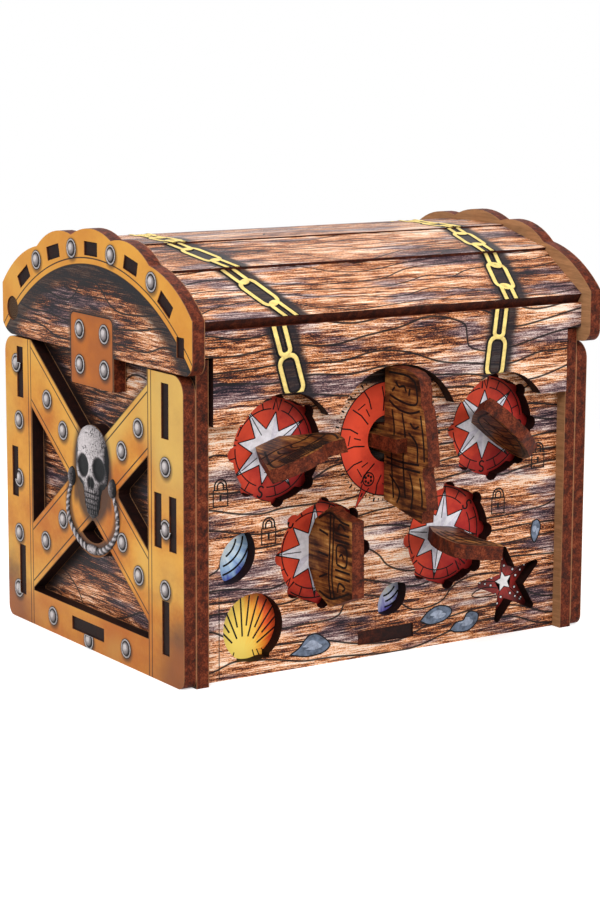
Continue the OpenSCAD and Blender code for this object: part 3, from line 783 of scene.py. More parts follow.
def add_piece(name, data, materials, body):
    """Shows a mesh as a piece of the chest that rides on a body."""
    piece = bpy.data.objects.new(name, data)
    if not data.materials:
        for material in materials:
            data.materials.append(material)
    bpy.context.scene.collection.objects.link(piece)
    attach(piece, body)
    return piece


def circle_points(centre, radius, start=0.0, end=360.0, steps=48, squash=1.0):
    """Points of an arc; a full turn leaves out the last point."""
    whole = abs(end - start) >= 360
    count = steps if whole else steps + 1
    points = []
    for i in range(count):
        angle = math.radians(start + (end - start) * i / steps)
        points.append((centre[0] + radius * math.cos(angle), centre[1] + radius * squash * math.sin(angle)))
    return points


def moved(points, centre, turn=0.0, scale=1.0):
    """Points turned by an angle in degrees, scaled, and moved to a centre."""
    angle = math.radians(turn)
    cos, sin = math.cos(angle) * scale, math.sin(angle) * scale
    return [(centre[0] + u * cos - v * sin, centre[1] + u * sin + v * cos) for u, v in points]


def soft_curve(points, steps=8):
    """A smooth curve through the points."""
    ends = [points[0], *points, points[-1]]
    curve = []
    for i in range(1, len(ends) - 2):
        before, start, end, after = ends[i - 1:i + 3]
        for k in range(steps):
            t = k / steps
            curve.append(tuple(
                0.5 * (2 * b + (c - a) * t + (2 * a - 5 * b + 4 * c - d) * t * t
                       + (3 * b - a - 3 * c + d) * t ** 3)
                for a, b, c, d in zip(before, start, end, after)))
    curve.append(tuple(points[-1]))
    return curve


# ---- Geometry node trees for what repeats ----

def geometry_tree(name, inputs):
    """An empty geometry tree with named inputs, its builder and a link to each input."""
    group = bpy.data.node_groups.new(name, "GeometryNodeTree")
    group.interface.new_socket("Geometry", in_out="INPUT", socket_type="NodeSocketGeometry")
    for title, kind in inputs:
        group.interface.new_socket(title, in_out="INPUT", socket_type=kind)
    group.interface.new_socket("Geometry", in_out="OUTPUT", socket_type="NodeSocketGeometry")
    tree = Tree(group)
    start = tree.add("NodeGroupInput")
    return group, tree, start


def joined(tree, *parts):
    """Several geometries as one."""
    node = tree.nodes.new("GeometryNodeJoinGeometry")
    for part in reversed(parts):
        tree.links.new(part.socket, node.inputs[0])
    return Link(tree, node.outputs[0])


def rivet_tree():
    """On every point a dark base with a pale ring and a low dome."""
    inputs = [("Radius", "NodeSocketFloat"), ("Rise", "NodeSocketFloat"),
              ("Base Finish", "NodeSocketMaterial"), ("Ring Finish", "NodeSocketMaterial"),
              ("Dome Finish", "NodeSocketMaterial")]
    group, tree, start = geometry_tree("rivets", inputs)
    radius, rise = start.other("Radius"), start.other("Rise")
    disc = tree.add("GeometryNodeMeshCylinder", {}, {"Vertices": 36, "Radius": radius, "Depth": 0.16})
    hoop = tree.add("GeometryNodeCurvePrimitiveCircle", {}, {"Resolution": 40, "Radius": radius * 0.85})
    bead = tree.add("GeometryNodeCurvePrimitiveCircle", {}, {"Resolution": 8, "Radius": radius * 0.095})
    ring = tree.add("GeometryNodeCurveToMesh", {}, {"Curve": hoop, "Profile Curve": bead})
    ring = tree.add("GeometryNodeTransform", {}, {"Geometry": ring, "Scale": (1, 1, 0.8)})
    dome = tree.add("GeometryNodeMeshUVSphere", {}, [28, 16, 1])
    size = tree.add("ShaderNodeCombineXYZ", {}, [radius * 0.66, radius * 0.66, rise])
    dome = tree.add("GeometryNodeTransform", {}, {"Geometry": dome, "Scale": size})
    layers = []
    for title, shape in (("Base Finish", disc), ("Ring Finish", ring), ("Dome Finish", dome)):
        shape = tree.add("GeometryNodeSetShadeSmooth", {},
                         {"Geometry": shape, "Shade Smooth": shape is not disc})
        copies = tree.add("GeometryNodeInstanceOnPoints", {}, {"Points": start, "Instance": shape})
        layers.append(tree.add("GeometryNodeSetMaterial", {},
                               {"Geometry": copies, "Material": start.other(title)}))
    whole = tree.add("GeometryNodeRealizeInstances", {}, [joined(tree, *layers)])
    tree.add("NodeGroupOutput", {}, {"Geometry": whole})
    return group


def chain_tree():
    """Flat links along a line, a wide one and a narrow one in turn, on a dark outline."""
    inputs = [("Pitch", "NodeSocketFloat"), ("Length", "NodeSocketFloat"), ("Width", "NodeSocketFloat"),
              ("Wire", "NodeSocketFloat"), ("Link Finish", "NodeSocketMaterial"),
              ("Outline Finish", "NodeSocketMaterial")]
    group, tree, start = geometry_tree("chain", inputs)
    path = tree.add("GeometryNodeMeshToCurve", {}, [start])
    points = tree.add("GeometryNodeResampleCurve", {"mode": "LENGTH"},
                      {"Curve": path, "Length": start.other("Pitch")})
    along = tree.add("GeometryNodeInputTangent")
    turn = tree.add("FunctionNodeAlignRotationToVector", {"axis": "Y", "pivot_axis": "Z"}, {"Vector": along})
    index = tree.add("GeometryNodeInputIndex")
    which = tree.add("FunctionNodeFloatToInt", {}, [index.calc("MODULO", index, 2)])
    layers = []
    for title, wide, thick in (("Outline Finish", 1.75, 0.07), ("Link Finish", 1.05, 0.30)):
        wire = tree.add("GeometryNodeCurvePrimitiveCircle", {},
                        {"Resolution": 8, "Radius": start.other("Wire") * wide})
        links = []
        for breadth, raised in ((1.0, 0.0), (0.58, 0.06)):
            width = start.other("Width") * breadth
            shape = tree.add("GeometryNodeCurvePrimitiveQuadrilateral", {"mode": "RECTANGLE"},
                             {"Width": width, "Height": start.other("Length")})
            shape = tree.add("GeometryNodeFilletCurve", {"mode": "POLY"},
                             {"Curve": shape, "Radius": width * 0.42, "Count": 6})
            link = tree.add("GeometryNodeCurveToMesh", {}, {"Curve": shape, "Profile Curve": wire})
            link = tree.add("GeometryNodeTransform", {}, {"Geometry": link, "Translation": (0, 0, raised),
                                                          "Scale": (1, 1, thick)})
            links.append(tree.add("GeometryNodeGeometryToInstance", {}, [link]))
        both = joined(tree, *links)
        placed = tree.add("GeometryNodeInstanceOnPoints", {},
                          {"Points": points, "Instance": both, "Pick Instance": True, "Instance Index": which,
                           "Rotation": turn})
        layers.append(tree.add("GeometryNodeSetMaterial", {},
                               {"Geometry": placed, "Material": start.other(title)}))
    whole = tree.add("GeometryNodeRealizeInstances", {}, [joined(tree, *layers)])
    tree.add("NodeGroupOutput", {}, {"Geometry": whole})
    return group


def finished_mesh(item):
    """A plain mesh of an object as its modifiers leave it."""
    bpy.context.view_layer.update()
    depsgraph = bpy.context.evaluated_depsgraph_get()
    return bpy.data.meshes.new_from_object(item.evaluated_get(depsgraph), depsgraph=depsgraph)


def laid_on(face, data):
    """Moves a mesh from a drawing's plane to its face, with its faces kept outward."""
    place = face.matrix()
    data.transform(place)
    if place.determinant() < 0:
        data.flip_normals()
    return data


def grown(group, points, edges, values):
    """The mesh that a geometry tree makes from points and edges, in the drawing's own plane."""
    data = bpy.data.meshes.new("seed_points")
    data.from_pydata([(u, v, 0.0) for u, v in points], edges, [])
    seed = bpy.data.objects.new("seed_points", data)
    bpy.context.scene.collection.objects.link(seed)
    modifier = seed.modifiers.new("grow", "NODES")
    modifier.node_group = group
    names = {item.name: item.identifier for item in group.interface.items_tree if item.in_out == "INPUT"}
    for title, value in values.items():
        modifier[names[title]] = value
    result = finished_mesh(seed)
    bpy.data.objects.remove(seed)
    bpy.data.meshes.remove(data)
    return result


def cut_away(data, openings, thickness=3.0):
    """A flat mesh without what lies over some openings, each given as (u, v, width, height)."""
    cutter = bmesh.new()
    for u, v, width, height in openings:
        middle = Matrix.Translation((u + width / 2, v + height / 2, 0))
        bmesh.ops.create_cube(cutter, size=1, matrix=middle @ Matrix.Diagonal((width, height, thickness, 1)))
    box_mesh = bpy.data.meshes.new("openings")
    cutter.to_mesh(box_mesh)
    cutter.free()
    box = bpy.data.objects.new("openings", box_mesh)
    piece = bpy.data.objects.new("cut_piece", data)
    for item in (box, piece):
        bpy.context.scene.collection.objects.link(item)
    modifier = piece.modifiers.new("cut", "BOOLEAN")
    modifier.operation = "DIFFERENCE"
    modifier.use_self = True
    modifier.object = box
    result = finished_mesh(piece)
    for item in (box, piece):
        bpy.data.objects.remove(item)
    for mesh in (box_mesh, data):
        bpy.data.meshes.remove(mesh)
    return result


def merged(meshes, name):
    """Several meshes with the same materials as one."""
    whole = bmesh.new()
    for data in meshes:
        whole.from_mesh(data)
    result = bpy.data.meshes.new(name)
    whole.to_mesh(result)
    whole.free()
    for material in meshes[0].materials:
        result.materials.append(material)
    for data in meshes:
        bpy.data.meshes.remove(data)
    return result


# ---- What a user may change ----

def colour_property(name, description, default):
    return bpy.props.FloatVectorProperty(name=name, description=description, default=default, size=3,
                                         subtype="COLOR", min=0, max=1)


def length_property(name, description, default):
    """A length, with its default in millimetres."""
    return bpy.props.FloatProperty(name=name, description=description, default=default * MM, unit="LENGTH")


class ChestLooks(bpy.types.PropertyGroup):
    """Colours of the prints and boards."""
    gold_light: colour_property("Light gold", "Light part of the gold print", (0.78, 0.37, 0.055))
    gold_dark: colour_property("Dark gold", "Dark part of the gold print", (0.52, 0.15, 0.018))
    rust: colour_property("Rust", "Shade of the hasp plate", (0.41, 0.115, 0.020))
    # smoke is both the sooty stains of the gold print and the painted shadows round the rivets, the skull and
    # ring, and the hasp plate.
    smoke: colour_property("Soot", "Smoky stains of the prints", (0.035, 0.018, 0.013))
    plank_light: colour_property("Light planks", "Light streaks of the plank print", (0.90, 0.49, 0.27))
    plank_dark: colour_property("Dark planks", "Dark streaks of the plank print", (0.20, 0.050, 0.020))
    plank_tone: bpy.props.FloatProperty(name="Plank lightness", default=0.54, min=0, max=1, subtype="FACTOR",
                                        description="How light the plank print is as a whole")
    ink: colour_property("Ink", "Black of the printed lines", (0.008, 0.006, 0.006))
    burnt: colour_property("Burnt edge", "Main colour of the cut edges", (0.064, 0.011, 0.004))
    bare: colour_property("Bare wood", "Unprinted faces", (0.46, 0.23, 0.105))
    token: colour_property("Token", "Main colour of the tokens", (0.21, 0.072, 0.020))
    red_light: colour_property("Light red", "Lit part of the compasses", (0.87, 0.088, 0.040))
    red_dark: colour_property("Dark red", "Shaded part of the compasses", (0.36, 0.018, 0.018))
    # Painted shade at the compasses' rim, where the front wall's hole shades the disc.
    red_rim_shade: colour_property("Red rim", "Rim of the compasses", (0.20, 0.010, 0.008))
    star_light: colour_property("Star, lit", "Lit halves of the compass points", (0.97, 0.94, 1.0))
    star_shade: colour_property("Star, shaded", "Shaded halves of the compass points", (0.84, 0.80, 0.90))
    chain: colour_property("Chain", "Printed chain links", (0.95, 0.72, 0.24))
    rivet: colour_property("Rivet", "Rivet domes", (0.13, 0.112, 0.115))
    washer: colour_property("Washer", "Pale rings round the rivets", (0.50, 0.46, 0.46))


class ChestSizes(bpy.types.PropertyGroup):
    """Sizes of the added pieces."""
    pen: length_property("Pen line", "Width of a printed line", 0.32)
    rivet_radius: length_property("Rivet radius", "Radius of a rivet's dark base", RIVET_REACH)
    rivet_rise: length_property("Rivet rise", "Height of a rivet's dome", 0.6)
    skull_rise: length_property("Skull rise", "Height of the skull's relief", 0.9)
    ring_half: length_property("Ring half width", "Half the width of the ring's bar", 1.0)
    link_length: length_property("Link length", "Length of a chain link", 11.4)
    link_width: length_property("Link width", "Width of a chain link", 5.6)
    link_wire: length_property("Link wire", "Half the breadth of a link's bar", 0.72)


def looks_of(context):
    return context.scene.chest_looks


def size_of(context, name):
    """A size in millimetres."""
    return getattr(context.scene.chest_sizes, name) / MM


# ---- Operators ----

class CHEST_OT_boards(bpy.types.Operator):
    """Gives every board of the chest its printed, bare and burnt finish"""
    bl_idname = "chest.boards"
    bl_label = "Finish the boards"

    def execute(self, context):
        looks = looks_of(context)
        plain_upright = upright_board("bare_upright", looks, 0, 25.0)
        finishes = {
            "side_frame": gold_frame(looks),
            "side_panel": inner_side(looks),
            "lid_end": lid_end_print(looks),
            "slat": lid_board("printed_slats", looks, upward, -0.02),
            "lid_skirt": lid_board("printed_skirt", looks, forward, -0.06),
            "lid_rear_rail": lid_board("printed_rail", looks, backward, -0.06),
            "hinge_pin": round_wood(looks),
            "cap": plain_upright,
            "front_inner": plain_upright,
            "rear_inner": plain_upright,
            "hub_centre": upright_board("burnt_hub", looks, -1, 44.0, -0.1, 0.95),
            "bottom_panel": floor_board(looks),
            "front_panel": upright_board("printed_front", looks, -1, 90.0, 0.03),
            # The backing behind the dials and cut pictures: its dark print, darkened almost to black as
            # painted shade.
            "front_mid": upright_board("printed_backing", looks, -1, 40.0, -0.1, 0.98),
            "rear_panel": upright_board("printed_rear", looks, 1, 60.0),
        }
        for title, (disc, token, turn) in DIALS.items():
            if title in NORTHS:
                finishes[disc] = compass_print(f"compass_{title}", centre_of(disc), looks)
            seed = turn + 50 if title in NORTHS else 7.0
            finishes[token] = token_print(f"wood_{token}", turn, looks, seed)
        finishes["cross_peg"] = token_print("wood_cross_peg", 0, looks, 3.0)
        for name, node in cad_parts.items():
            fits = [key for key in finishes if name == key or name.startswith(key)]
            if not fits:
                raise RuntimeError(f"no finish for {name}")
            node.data.materials.clear()
            node.data.materials.append(finishes[max(fits, key=len)])
        return {"FINISHED"}


class CHEST_OT_rivets(bpy.types.Operator):
    """Sets the rivets into the side frames and the lid ends"""
    bl_idname = "chest.rivets"
    bl_label = "Set the rivets"

    def execute(self, context):
        looks = looks_of(context)
        base = plain_print("rivet_base", looks.ink, 0.3)
        ring = plain_print("rivet_ring", looks.washer, 0.45, 1.6)
        dome = dome_metal("rivet_dome", looks)
        group = rivet_tree()
        values = {"Radius": size_of(context, "rivet_radius"), "Rise": size_of(context, "rivet_rise"),
                  "Base Finish": base, "Ring Finish": ring, "Dome Finish": dome}
        openings = [(y, z, BOARD, TAB) for y, z in SIDE_TABS] + [FLOOR_TAB, (-5, -10, DEPTH + 10, 10.1)]
        for name, x, sign, body, places in (
                ("rivets_frame_left", 0, -1, "chest", FRAME_RIVETS),
                ("rivets_frame_right", 2 * MIDDLE, 1, "chest", FRAME_RIVETS),
                ("rivets_lid_left", LID_FACE, -1, "lid", LID_RIVETS + PLATE_RIVETS),
                ("rivets_lid_right", 2 * MIDDLE - LID_FACE, 1, "lid", LID_RIVETS + PLATE_RIVETS)):
            data = grown(group, places, [], values)
            if body == "chest":
                data = cut_away(data, openings)
            add_piece(name, laid_on(side_face(x, sign), data), [base, ring, dome], body)
        return {"FINISHED"}


SKULL_OUTLINE = [(0, 12.7), (25, 12.5), (45, 11.7), (63, 10.8), (80, 9.9), (95, 9.6), (110, 9.3), (120, 8.6),
                 (133, 7.9), (143, 8.4), (152, 9.7), (160, 11.8), (168, 13.5), (180, 14.3)]


def skull_radius(angle):
    """How far the skull's outline lies from its centre, by the angle from straight up."""
    angle = abs((angle + 180) % 360 - 180)
    for (start, low), (end, high) in zip(SKULL_OUTLINE, SKULL_OUTLINE[1:]):
        if angle <= end:
            part = (1 - math.cos(math.pi * (angle - start) / (end - start))) / 2
            return low + (high - low) * part
    return SKULL_OUTLINE[-1][1]


def bump_at(u, v, centre, size, power=2):
    """A soft round bump: 1 at its centre and near 0 from its size on."""
    distance = ((u - centre[0]) / size[0]) ** 2 + ((v - centre[1]) / size[1]) ** 2
    return math.exp(-(distance ** power) * 1.2)


def skull_shape(u, v, edge):
    """Height, as a share of the relief, and tone of the skull at a point; edge goes from 0 to 1. The tone is
    painted light: lighter on the lit side and on the dome, with painted shade in the sockets, nose, mouth,
    cheeks and temples.
    """
    lit = 0.017 * u + 0.012 * v
    u = abs(u)
    dome = math.sqrt(max(0.0, 1 - edge ** 3))
    socket = bump_at(u, v, (4.6, 0.6), (3.5, 3.5), 4)
    rim = max(0.0, bump_at(u, v, (4.6, 0.6), (4.5, 4.4), 4) - socket)
    nose = bump_at(u, v, (0.85, -3.8), (1.2, 1.7))
    cheek = bump_at(u, v, (7.0, -5.4), (2.6, 2.2))
    temple = bump_at(u, v, (9.4, 3.6), (1.8, 5.0))
    jaw_side = bump_at(u, v, (4.9, -10.0), (1.0, 3.2))
    mouth = 0.0
    if -13.2 < v < -5.6 and u < 4.6:
        column = abs((u / 1.15) % 1 - 0.5) > 0.36
        row = abs((v + 13.2) / 1.55 % 1 - 0.5) > 0.38
        mouth = 0.9 if column or row else 0.0
    height = dome * (0.8 + 0.2 * rim) - 0.65 * socket - 0.5 * nose - 0.2 * mouth - 0.3 * cheek - 0.15 * temple
    tone = 0.36 + lit + 0.3 * dome + 0.2 * rim - 0.95 * socket - 0.8 * nose - 0.5 * mouth
    tone -= 0.6 * cheek + 0.4 * temple + 0.4 * jaw_side
    return max(0.04, height), max(0.0, min(1.0, tone))


def skull_mesh(face, rise, name, rounds=62, spokes=210):
    """A low skull in relief, from its outline in to its centre, with a closed back."""
    data = bmesh.new()
    painted_light_tones = []
    rings = []
    turns = [2 * math.pi * k / spokes for k in range(spokes)]
    reaches = [skull_radius(math.degrees(turn)) for turn in turns]
    for i in range(rounds):
        edge = 1 - i / rounds
        ring = []
        for turn, reach in zip(turns, reaches):
            u, v = reach * edge * math.sin(turn), reach * edge * math.cos(turn)
            height, tone = skull_shape(u, v, edge)
            ring.append(data.verts.new(face.spot(SKULL_CENTRE[0] + u, SKULL_CENTRE[1] + v, height * rise)))
            painted_light_tones.append(tone)
        rings.append(ring)
    height, tone = skull_shape(0, 0, 0)
    top = data.verts.new(face.spot(*SKULL_CENTRE, height * rise))
    painted_light_tones.append(tone)
    back = [data.verts.new(face.spot(SKULL_CENTRE[0] + reach * math.sin(turn),
                                     SKULL_CENTRE[1] + reach * math.cos(turn), -0.1))
            for turn, reach in zip(turns, reaches)]
    painted_light_tones.extend([0.1] * spokes)
    close_rings(data, [back, *rings], top)
    return relief_mesh(data, painted_light_tones, name)


def join_rings(data, rings):
    """Faces from each ring of points to the next."""
    spokes = len(rings[0])
    for low, high in zip(rings, rings[1:]):
        for k in range(spokes):
            data.faces.new((low[k], low[(k + 1) % spokes], high[(k + 1) % spokes], high[k]))


def close_rings(data, rings, top):
    """Faces from ring to ring, a fan to the top and a lid on the first ring."""
    join_rings(data, rings)
    spokes = len(rings[0])
    for k in range(spokes):
        data.faces.new((rings[-1][k], rings[-1][(k + 1) % spokes], top))
    data.faces.new(rings[0][::-1])


def relief_mesh(data, painted_light_tones, name):
    """Turns worked faces into a mesh with outward faces and a painted light tone on every point."""
    data.verts.index_update()
    bmesh.ops.recalc_face_normals(data, faces=data.faces[:])
    for face in data.faces:
        face.smooth = True
    mesh = bpy.data.meshes.new(name)
    data.to_mesh(mesh)
    data.free()
    attribute = mesh.attributes.new("tone", "FLOAT", "POINT")
    attribute.data.foreach_set("value", painted_light_tones)
    return mesh


# Half of the ring's middle line, from its lowest point up to its end, off the crossing
RING_HALF = [(0, -18.8), (4.4, -18.6), (8.4, -17.0), (12.0, -14.4), (14.3, -11.2), (14.8, -8.0), (14.0, -4.6),
             (12.3, -1.2), (11.4, 0.6)]


def ring_mesh(face, half, name, around=16):
    """The twisted bar of the ring from end to end, with a clasp at its lowest point."""
    whole = [(-u, v) for u, v in RING_HALF[:0:-1]] + RING_HALF
    path = soft_curve(whole, 12)
    data = bmesh.new()
    painted_light_tones = []
    rings = []
    for i, (u, v) in enumerate(path):
        after, before = path[min(i + 1, len(path) - 1)], path[max(i - 1, 0)]
        along = Vector((after[0] - before[0], after[1] - before[1])).normalized()
        share = i / (len(path) - 1)
        from_low = abs(share - 0.5)
        clasp = math.exp(-(from_low / 0.035) ** 4)
        seam = max(0.0, 1 - abs(from_low - 0.042) / 0.008)
        size = half * (1.12 - 0.75 * from_low + 0.3 * clasp)
        ring = []
        for k in range(around):
            turn = 2 * math.pi * k / around
            twist = math.sin(share * 2 * math.pi * 30 + turn * 2) * (1 - clasp)
            reach = size * (1 + 0.06 * twist) * math.cos(turn)
            lift = max(-0.1, size * 0.62 * (1 + 0.06 * twist) * math.sin(turn))
            ring.append(data.verts.new(face.spot(CROSSING[0] + u - along.y * reach,
                                                 CROSSING[1] + v + along.x * reach, lift)))
            # Painted light: the bar is lighter on top, with painted highlights along its twist and painted
            # shade in the clasp's seams.
            painted_light_tones.append(0.14 + 0.45 * max(0, math.sin(turn)) + 0.2 * twist + 0.1 * clasp - 0.5 * seam)
        rings.append(ring)
    join_rings(data, rings)
    data.faces.new(rings[0])
    data.faces.new(rings[-1][::-1])
    return relief_mesh(data, painted_light_tones, name)


def ear_mesh(face, centre, size, rise, name, rounds=12, spokes=30):
    """A low oval stud that holds an end of the ring."""
    data = bmesh.new()
    painted_light_tones = []
    rings = []
    for i in range(rounds):
        tilt = math.pi / 2 * i / rounds
        ring = []
        for k in range(spokes):
            angle = 2 * math.pi * k / spokes
            ring.append(data.verts.new(face.spot(centre[0] + size[0] * math.cos(tilt) * math.sin(angle),
                                                 centre[1] + size[1] * math.cos(tilt) * math.cos(angle),
                                                 -0.1 + (rise + 0.1) * math.sin(tilt))))
            # Painted light: the stud is lighter on top and on one side.
            painted_light_tones.append(0.05 + 0.45 * math.sin(tilt) + 0.2 * math.sin(angle) * math.cos(tilt))
        rings.append(ring)
    top = data.verts.new(face.spot(centre[0], centre[1], rise))
    painted_light_tones.append(0.6)
    close_rings(data, rings, top)
    return relief_mesh(data, painted_light_tones, name)


class CHEST_OT_skull(bpy.types.Operator):
    """Raises the skull and its ring on both side frames"""
    bl_idname = "chest.skull"
    bl_label = "Raise the skull and ring"

    def execute(self, context):
        metal = toned_metal("aged_pewter", (0.006, 0.006, 0.007), (0.13, 0.115, 0.12), (0.70, 0.64, 0.65),
                            0.0, 0.5)
        half = size_of(context, "ring_half")
        for side, x, sign in (("left", 0, -1), ("right", 2 * MIDDLE, 1)):
            face = side_face(x, sign)
            skull = skull_mesh(face, size_of(context, "skull_rise"), f"skull_{side}")
            add_piece(f"skull_{side}", skull, [metal], "chest")
            add_piece(f"ring_{side}", ring_mesh(face, half, f"ring_{side}"), [metal], "chest")
            for end, way in (("front", -1), ("rear", 1)):
                centre = (CROSSING[0] + way * 12.0, CROSSING[1] + 0.8)
                name = f"ring_ear_{end}_{side}"
                add_piece(name, ear_mesh(face, centre, (2.0, 2.9), 1.2, name), [metal], "chest")
        return {"FINISHED"}


def clipped(data, low, high):
    """Cuts a flat mesh to the stretch between two heights of its drawing, with closed cuts."""
    cut = bmesh.new()
    cut.from_mesh(data)
    for height, way in ((low, -1), (high, 1)):
        geometry = cut.verts[:] + cut.edges[:] + cut.faces[:]
        made = bmesh.ops.bisect_plane(cut, geom=geometry, plane_co=(0, height, 0), plane_no=(0, way, 0),
                                      clear_outer=True)
        edges = [item for item in made["geom_cut"] if isinstance(item, bmesh.types.BMEdge)]
        bmesh.ops.holes_fill(cut, edges=edges)
    cut.to_mesh(data)
    cut.free()
    return data


class CHEST_OT_chains(bpy.types.Operator):
    """Runs the two printed chains over the lid's boards and the skirt"""
    bl_idname = "chest.chains"
    bl_label = "Run the chains"

    def execute(self, context):
        looks = looks_of(context)
        gold = plain_print("chain_print", looks.chain, 0.3)
        outline = plain_print("chain_outline", looks.ink, 0.2)
        group = chain_tree()
        length = size_of(context, "link_length")
        pitch = length * 0.78
        values = {"Pitch": pitch, "Length": length, "Width": size_of(context, "link_width"),
                  "Wire": size_of(context, "link_wire"), "Link Finish": gold, "Outline Finish": outline}
        faces = {name: (slat_face(foot, slope), 0.0, reach) for name, (foot, slope, reach) in SLATS.items()}
        faces["skirt"] = (front_face(SKIRT_Y), None, SKIRT_TOP)
        for side, runs in CHAIN_X.items():
            parts = []
            for name, (low_x, high_x) in runs.items():
                face, low, high = faces[name]
                low = CHAIN_LOW if low is None else low
                slope = (high_x - low_x) / (high - low)
                first = low + length * 0.42 if name == "skirt" else low - pitch
                start = (low_x + slope * (first - low), first)
                end = (high_x + slope * pitch, high + pitch)
                data = clipped(grown(group, [start, end], [(0, 1)], values), low, high)
                parts.append(laid_on(face, data))
            add_piece(f"chain_{side}", merged(parts, f"chain_{side}"), [gold, outline], "lid")
        return {"FINISHED"}


LETTERS = {
    "N": [[(-0.8, -1), (-0.6, 1), (0.55, -1), (0.85, 1)]],
    "E": [[(0.7, 0.85), (0.1, 1), (-0.5, 0.7), (-0.4, 0.2), (0.15, 0.05), (-0.5, -0.15), (-0.65, -0.65),
           (-0.1, -1), (0.7, -0.75)]],
    "S": [[(0.65, 0.75), (0.1, 1), (-0.5, 0.75), (-0.4, 0.2), (0.3, -0.1), (0.55, -0.6), (0, -1),
           (-0.65, -0.75)]],
    "W": [[(-1, 1), (-0.55, -1), (0, 0.6), (0.5, -1), (1, 1)]],
}


def compass_drawing(title, north, pen, inks):
    """A compass rose on a disc: four long points between the letters, four short ones, and rings."""
    face, centre, body = front_face(DISC_Y), centre_of(DIALS[title][0]), f"dial_{title}"
    ink, light, shade = inks
    reach, rings = 13.2, (11.0, 13.7)
    lines, lit, dim = Drawing(face), Drawing(face), Drawing(face)
    waist = 5.5
    for i in (0, 2, 4, 6, 1, 3, 5, 7):
        turn = north + 45 * i
        long_point = i % 2 == 1
        tip, lift = (reach, 0.07) if long_point else (reach * 0.78, 0.04)
        for way in (1, -1):
            corner = (-way * waist * math.sin(math.radians(22.5)), waist * math.cos(math.radians(22.5)))
            half = [(0, 0), (0, tip), corner]
            paint = dim if way < 0 and turn % 360 > 90 else lit
            paint.slab(moved(half, centre, turn), lift)
            lines.pen(moved([(0, tip), corner], centre, turn), pen * 0.9, 0.1)
        if long_point:
            lines.pen(moved([(0, tip * 0.34), (0, tip * 0.8)], centre, turn), pen * 0.8, 0.1)
    for radius in rings:
        for quarter in range(4):
            start = north + 90 + 90 * quarter
            lines.pen(circle_points(centre, radius, start + 9, start + 81, 22), pen)
    for i in range(16):
        if i % 4:
            tick = [(0, rings[0]), (0, rings[1])]
            lines.pen(moved(tick, centre, north + 22.5 * i), pen)
    for i, letter in enumerate("NWSE"):
        middle = (rings[0] + rings[1]) / 2
        for stroke in LETTERS[letter]:
            curve = soft_curve(stroke, 4) if letter in "ES" else stroke
            shape = [(u * 1.3, v * 1.6 + middle) for u, v in curve]
            lines.pen(moved(shape, centre, north + 90 * i), pen * 1.5, 0.11)
    for drawing, part, paint in ((lines, "lines", ink), (lit, "lit", light), (dim, "shade", shade)):
        drawing.build(f"compass_{part}_{title}", paint, body, "print_compass")


class CHEST_OT_compasses(bpy.types.Operator):
    """Prints the compasses on the four discs and round the middle dial"""
    bl_idname = "chest.compasses"
    bl_label = "Print the compasses"

    def execute(self, context):
        looks = looks_of(context)
        pen = size_of(context, "pen")
        ink = plain_print("compass_ink", looks.ink, 0.2)
        light = plain_print("compass_star_lit", looks.star_light, 0.22)
        shade = plain_print("compass_star_shade", looks.star_shade, 0.3)
        for title, north in NORTHS.items():
            compass_drawing(title, north, pen, (ink, light, shade))
        self.middle(looks, pen, ink)
        return {"FINISHED"}

    def middle(self, looks, pen, ink):
        """The flat compass round the middle dial, printed on the front wall."""
        centre = centre_of("hub_centre")
        face = front_face(PANEL_Y)
        hole, rim = 6.9, 16.4
        base = Drawing(face)
        steps = 72
        for i in range(steps):
            start, end = 360 * i / steps, 360 * (i + 1) / steps
            inner = circle_points(centre, hole, start, end, 1)
            outer = circle_points(centre, rim, start, end, 1)
            base.slab([inner[0], outer[0], outer[1], inner[1]], 0.03)
        red = compass_print("compass_middle", centre, looks, 0.5)
        base.build("compass_middle_base", red, "chest", "print_compass")
        lines = Drawing(face)
        lines.pen(circle_points(centre, rim, steps=64), pen, closed=True)
        for i in range(72):
            short = i % 3 > 0
            tick = [(0, rim + 0.9), (0, rim + (1.5 if short else 2.1))]
            lines.pen(moved(tick, centre, 5 * i), pen * (1 if short else 1.5))
        for i in range(16):
            turn = 22.5 * i + 8
            start, end = ((8.2, 15.2), (10.5, rim))[i % 2]
            lines.pen(moved([(-0.5, start), (0.25, (start + end) / 2), (0, end)], centre, turn), pen * 1.2)
            if i % 2 == 0:
                lines.pen(moved([(0.9, 13.6), (3.6, 12.6)], centre, turn), pen)
                lines.pen(moved([(1.6, 9.2), (2.6, 11.4)], centre, turn), pen)
        self.rosette(lines, (centre[0] - 6.6, centre[1] - 11.2), pen)
        needle = moved([(-1.3, rim - 1.3), (0, rim + 6.2), (1.3, rim - 1.3)], centre, 150)
        lines.pen(needle, pen)
        lines.build("compass_middle_lines", ink, "chest", "print_compass")
        tip = Drawing(face)
        tip.slab(needle, 0.05)
        tip.build("compass_middle_needle", red, "chest", "print_compass")

    def rosette(self, lines, spot, pen):
        """A small dark rose of six petals in a ring."""
        lines.pen(circle_points(spot, 1.9, steps=24), pen * 1.2, closed=True)
        for i in range(6):
            petal = moved([(0, 1.05)], spot, 60 * i)[0]
            lines.slab(circle_points(petal, 0.42, steps=10), 0.09)


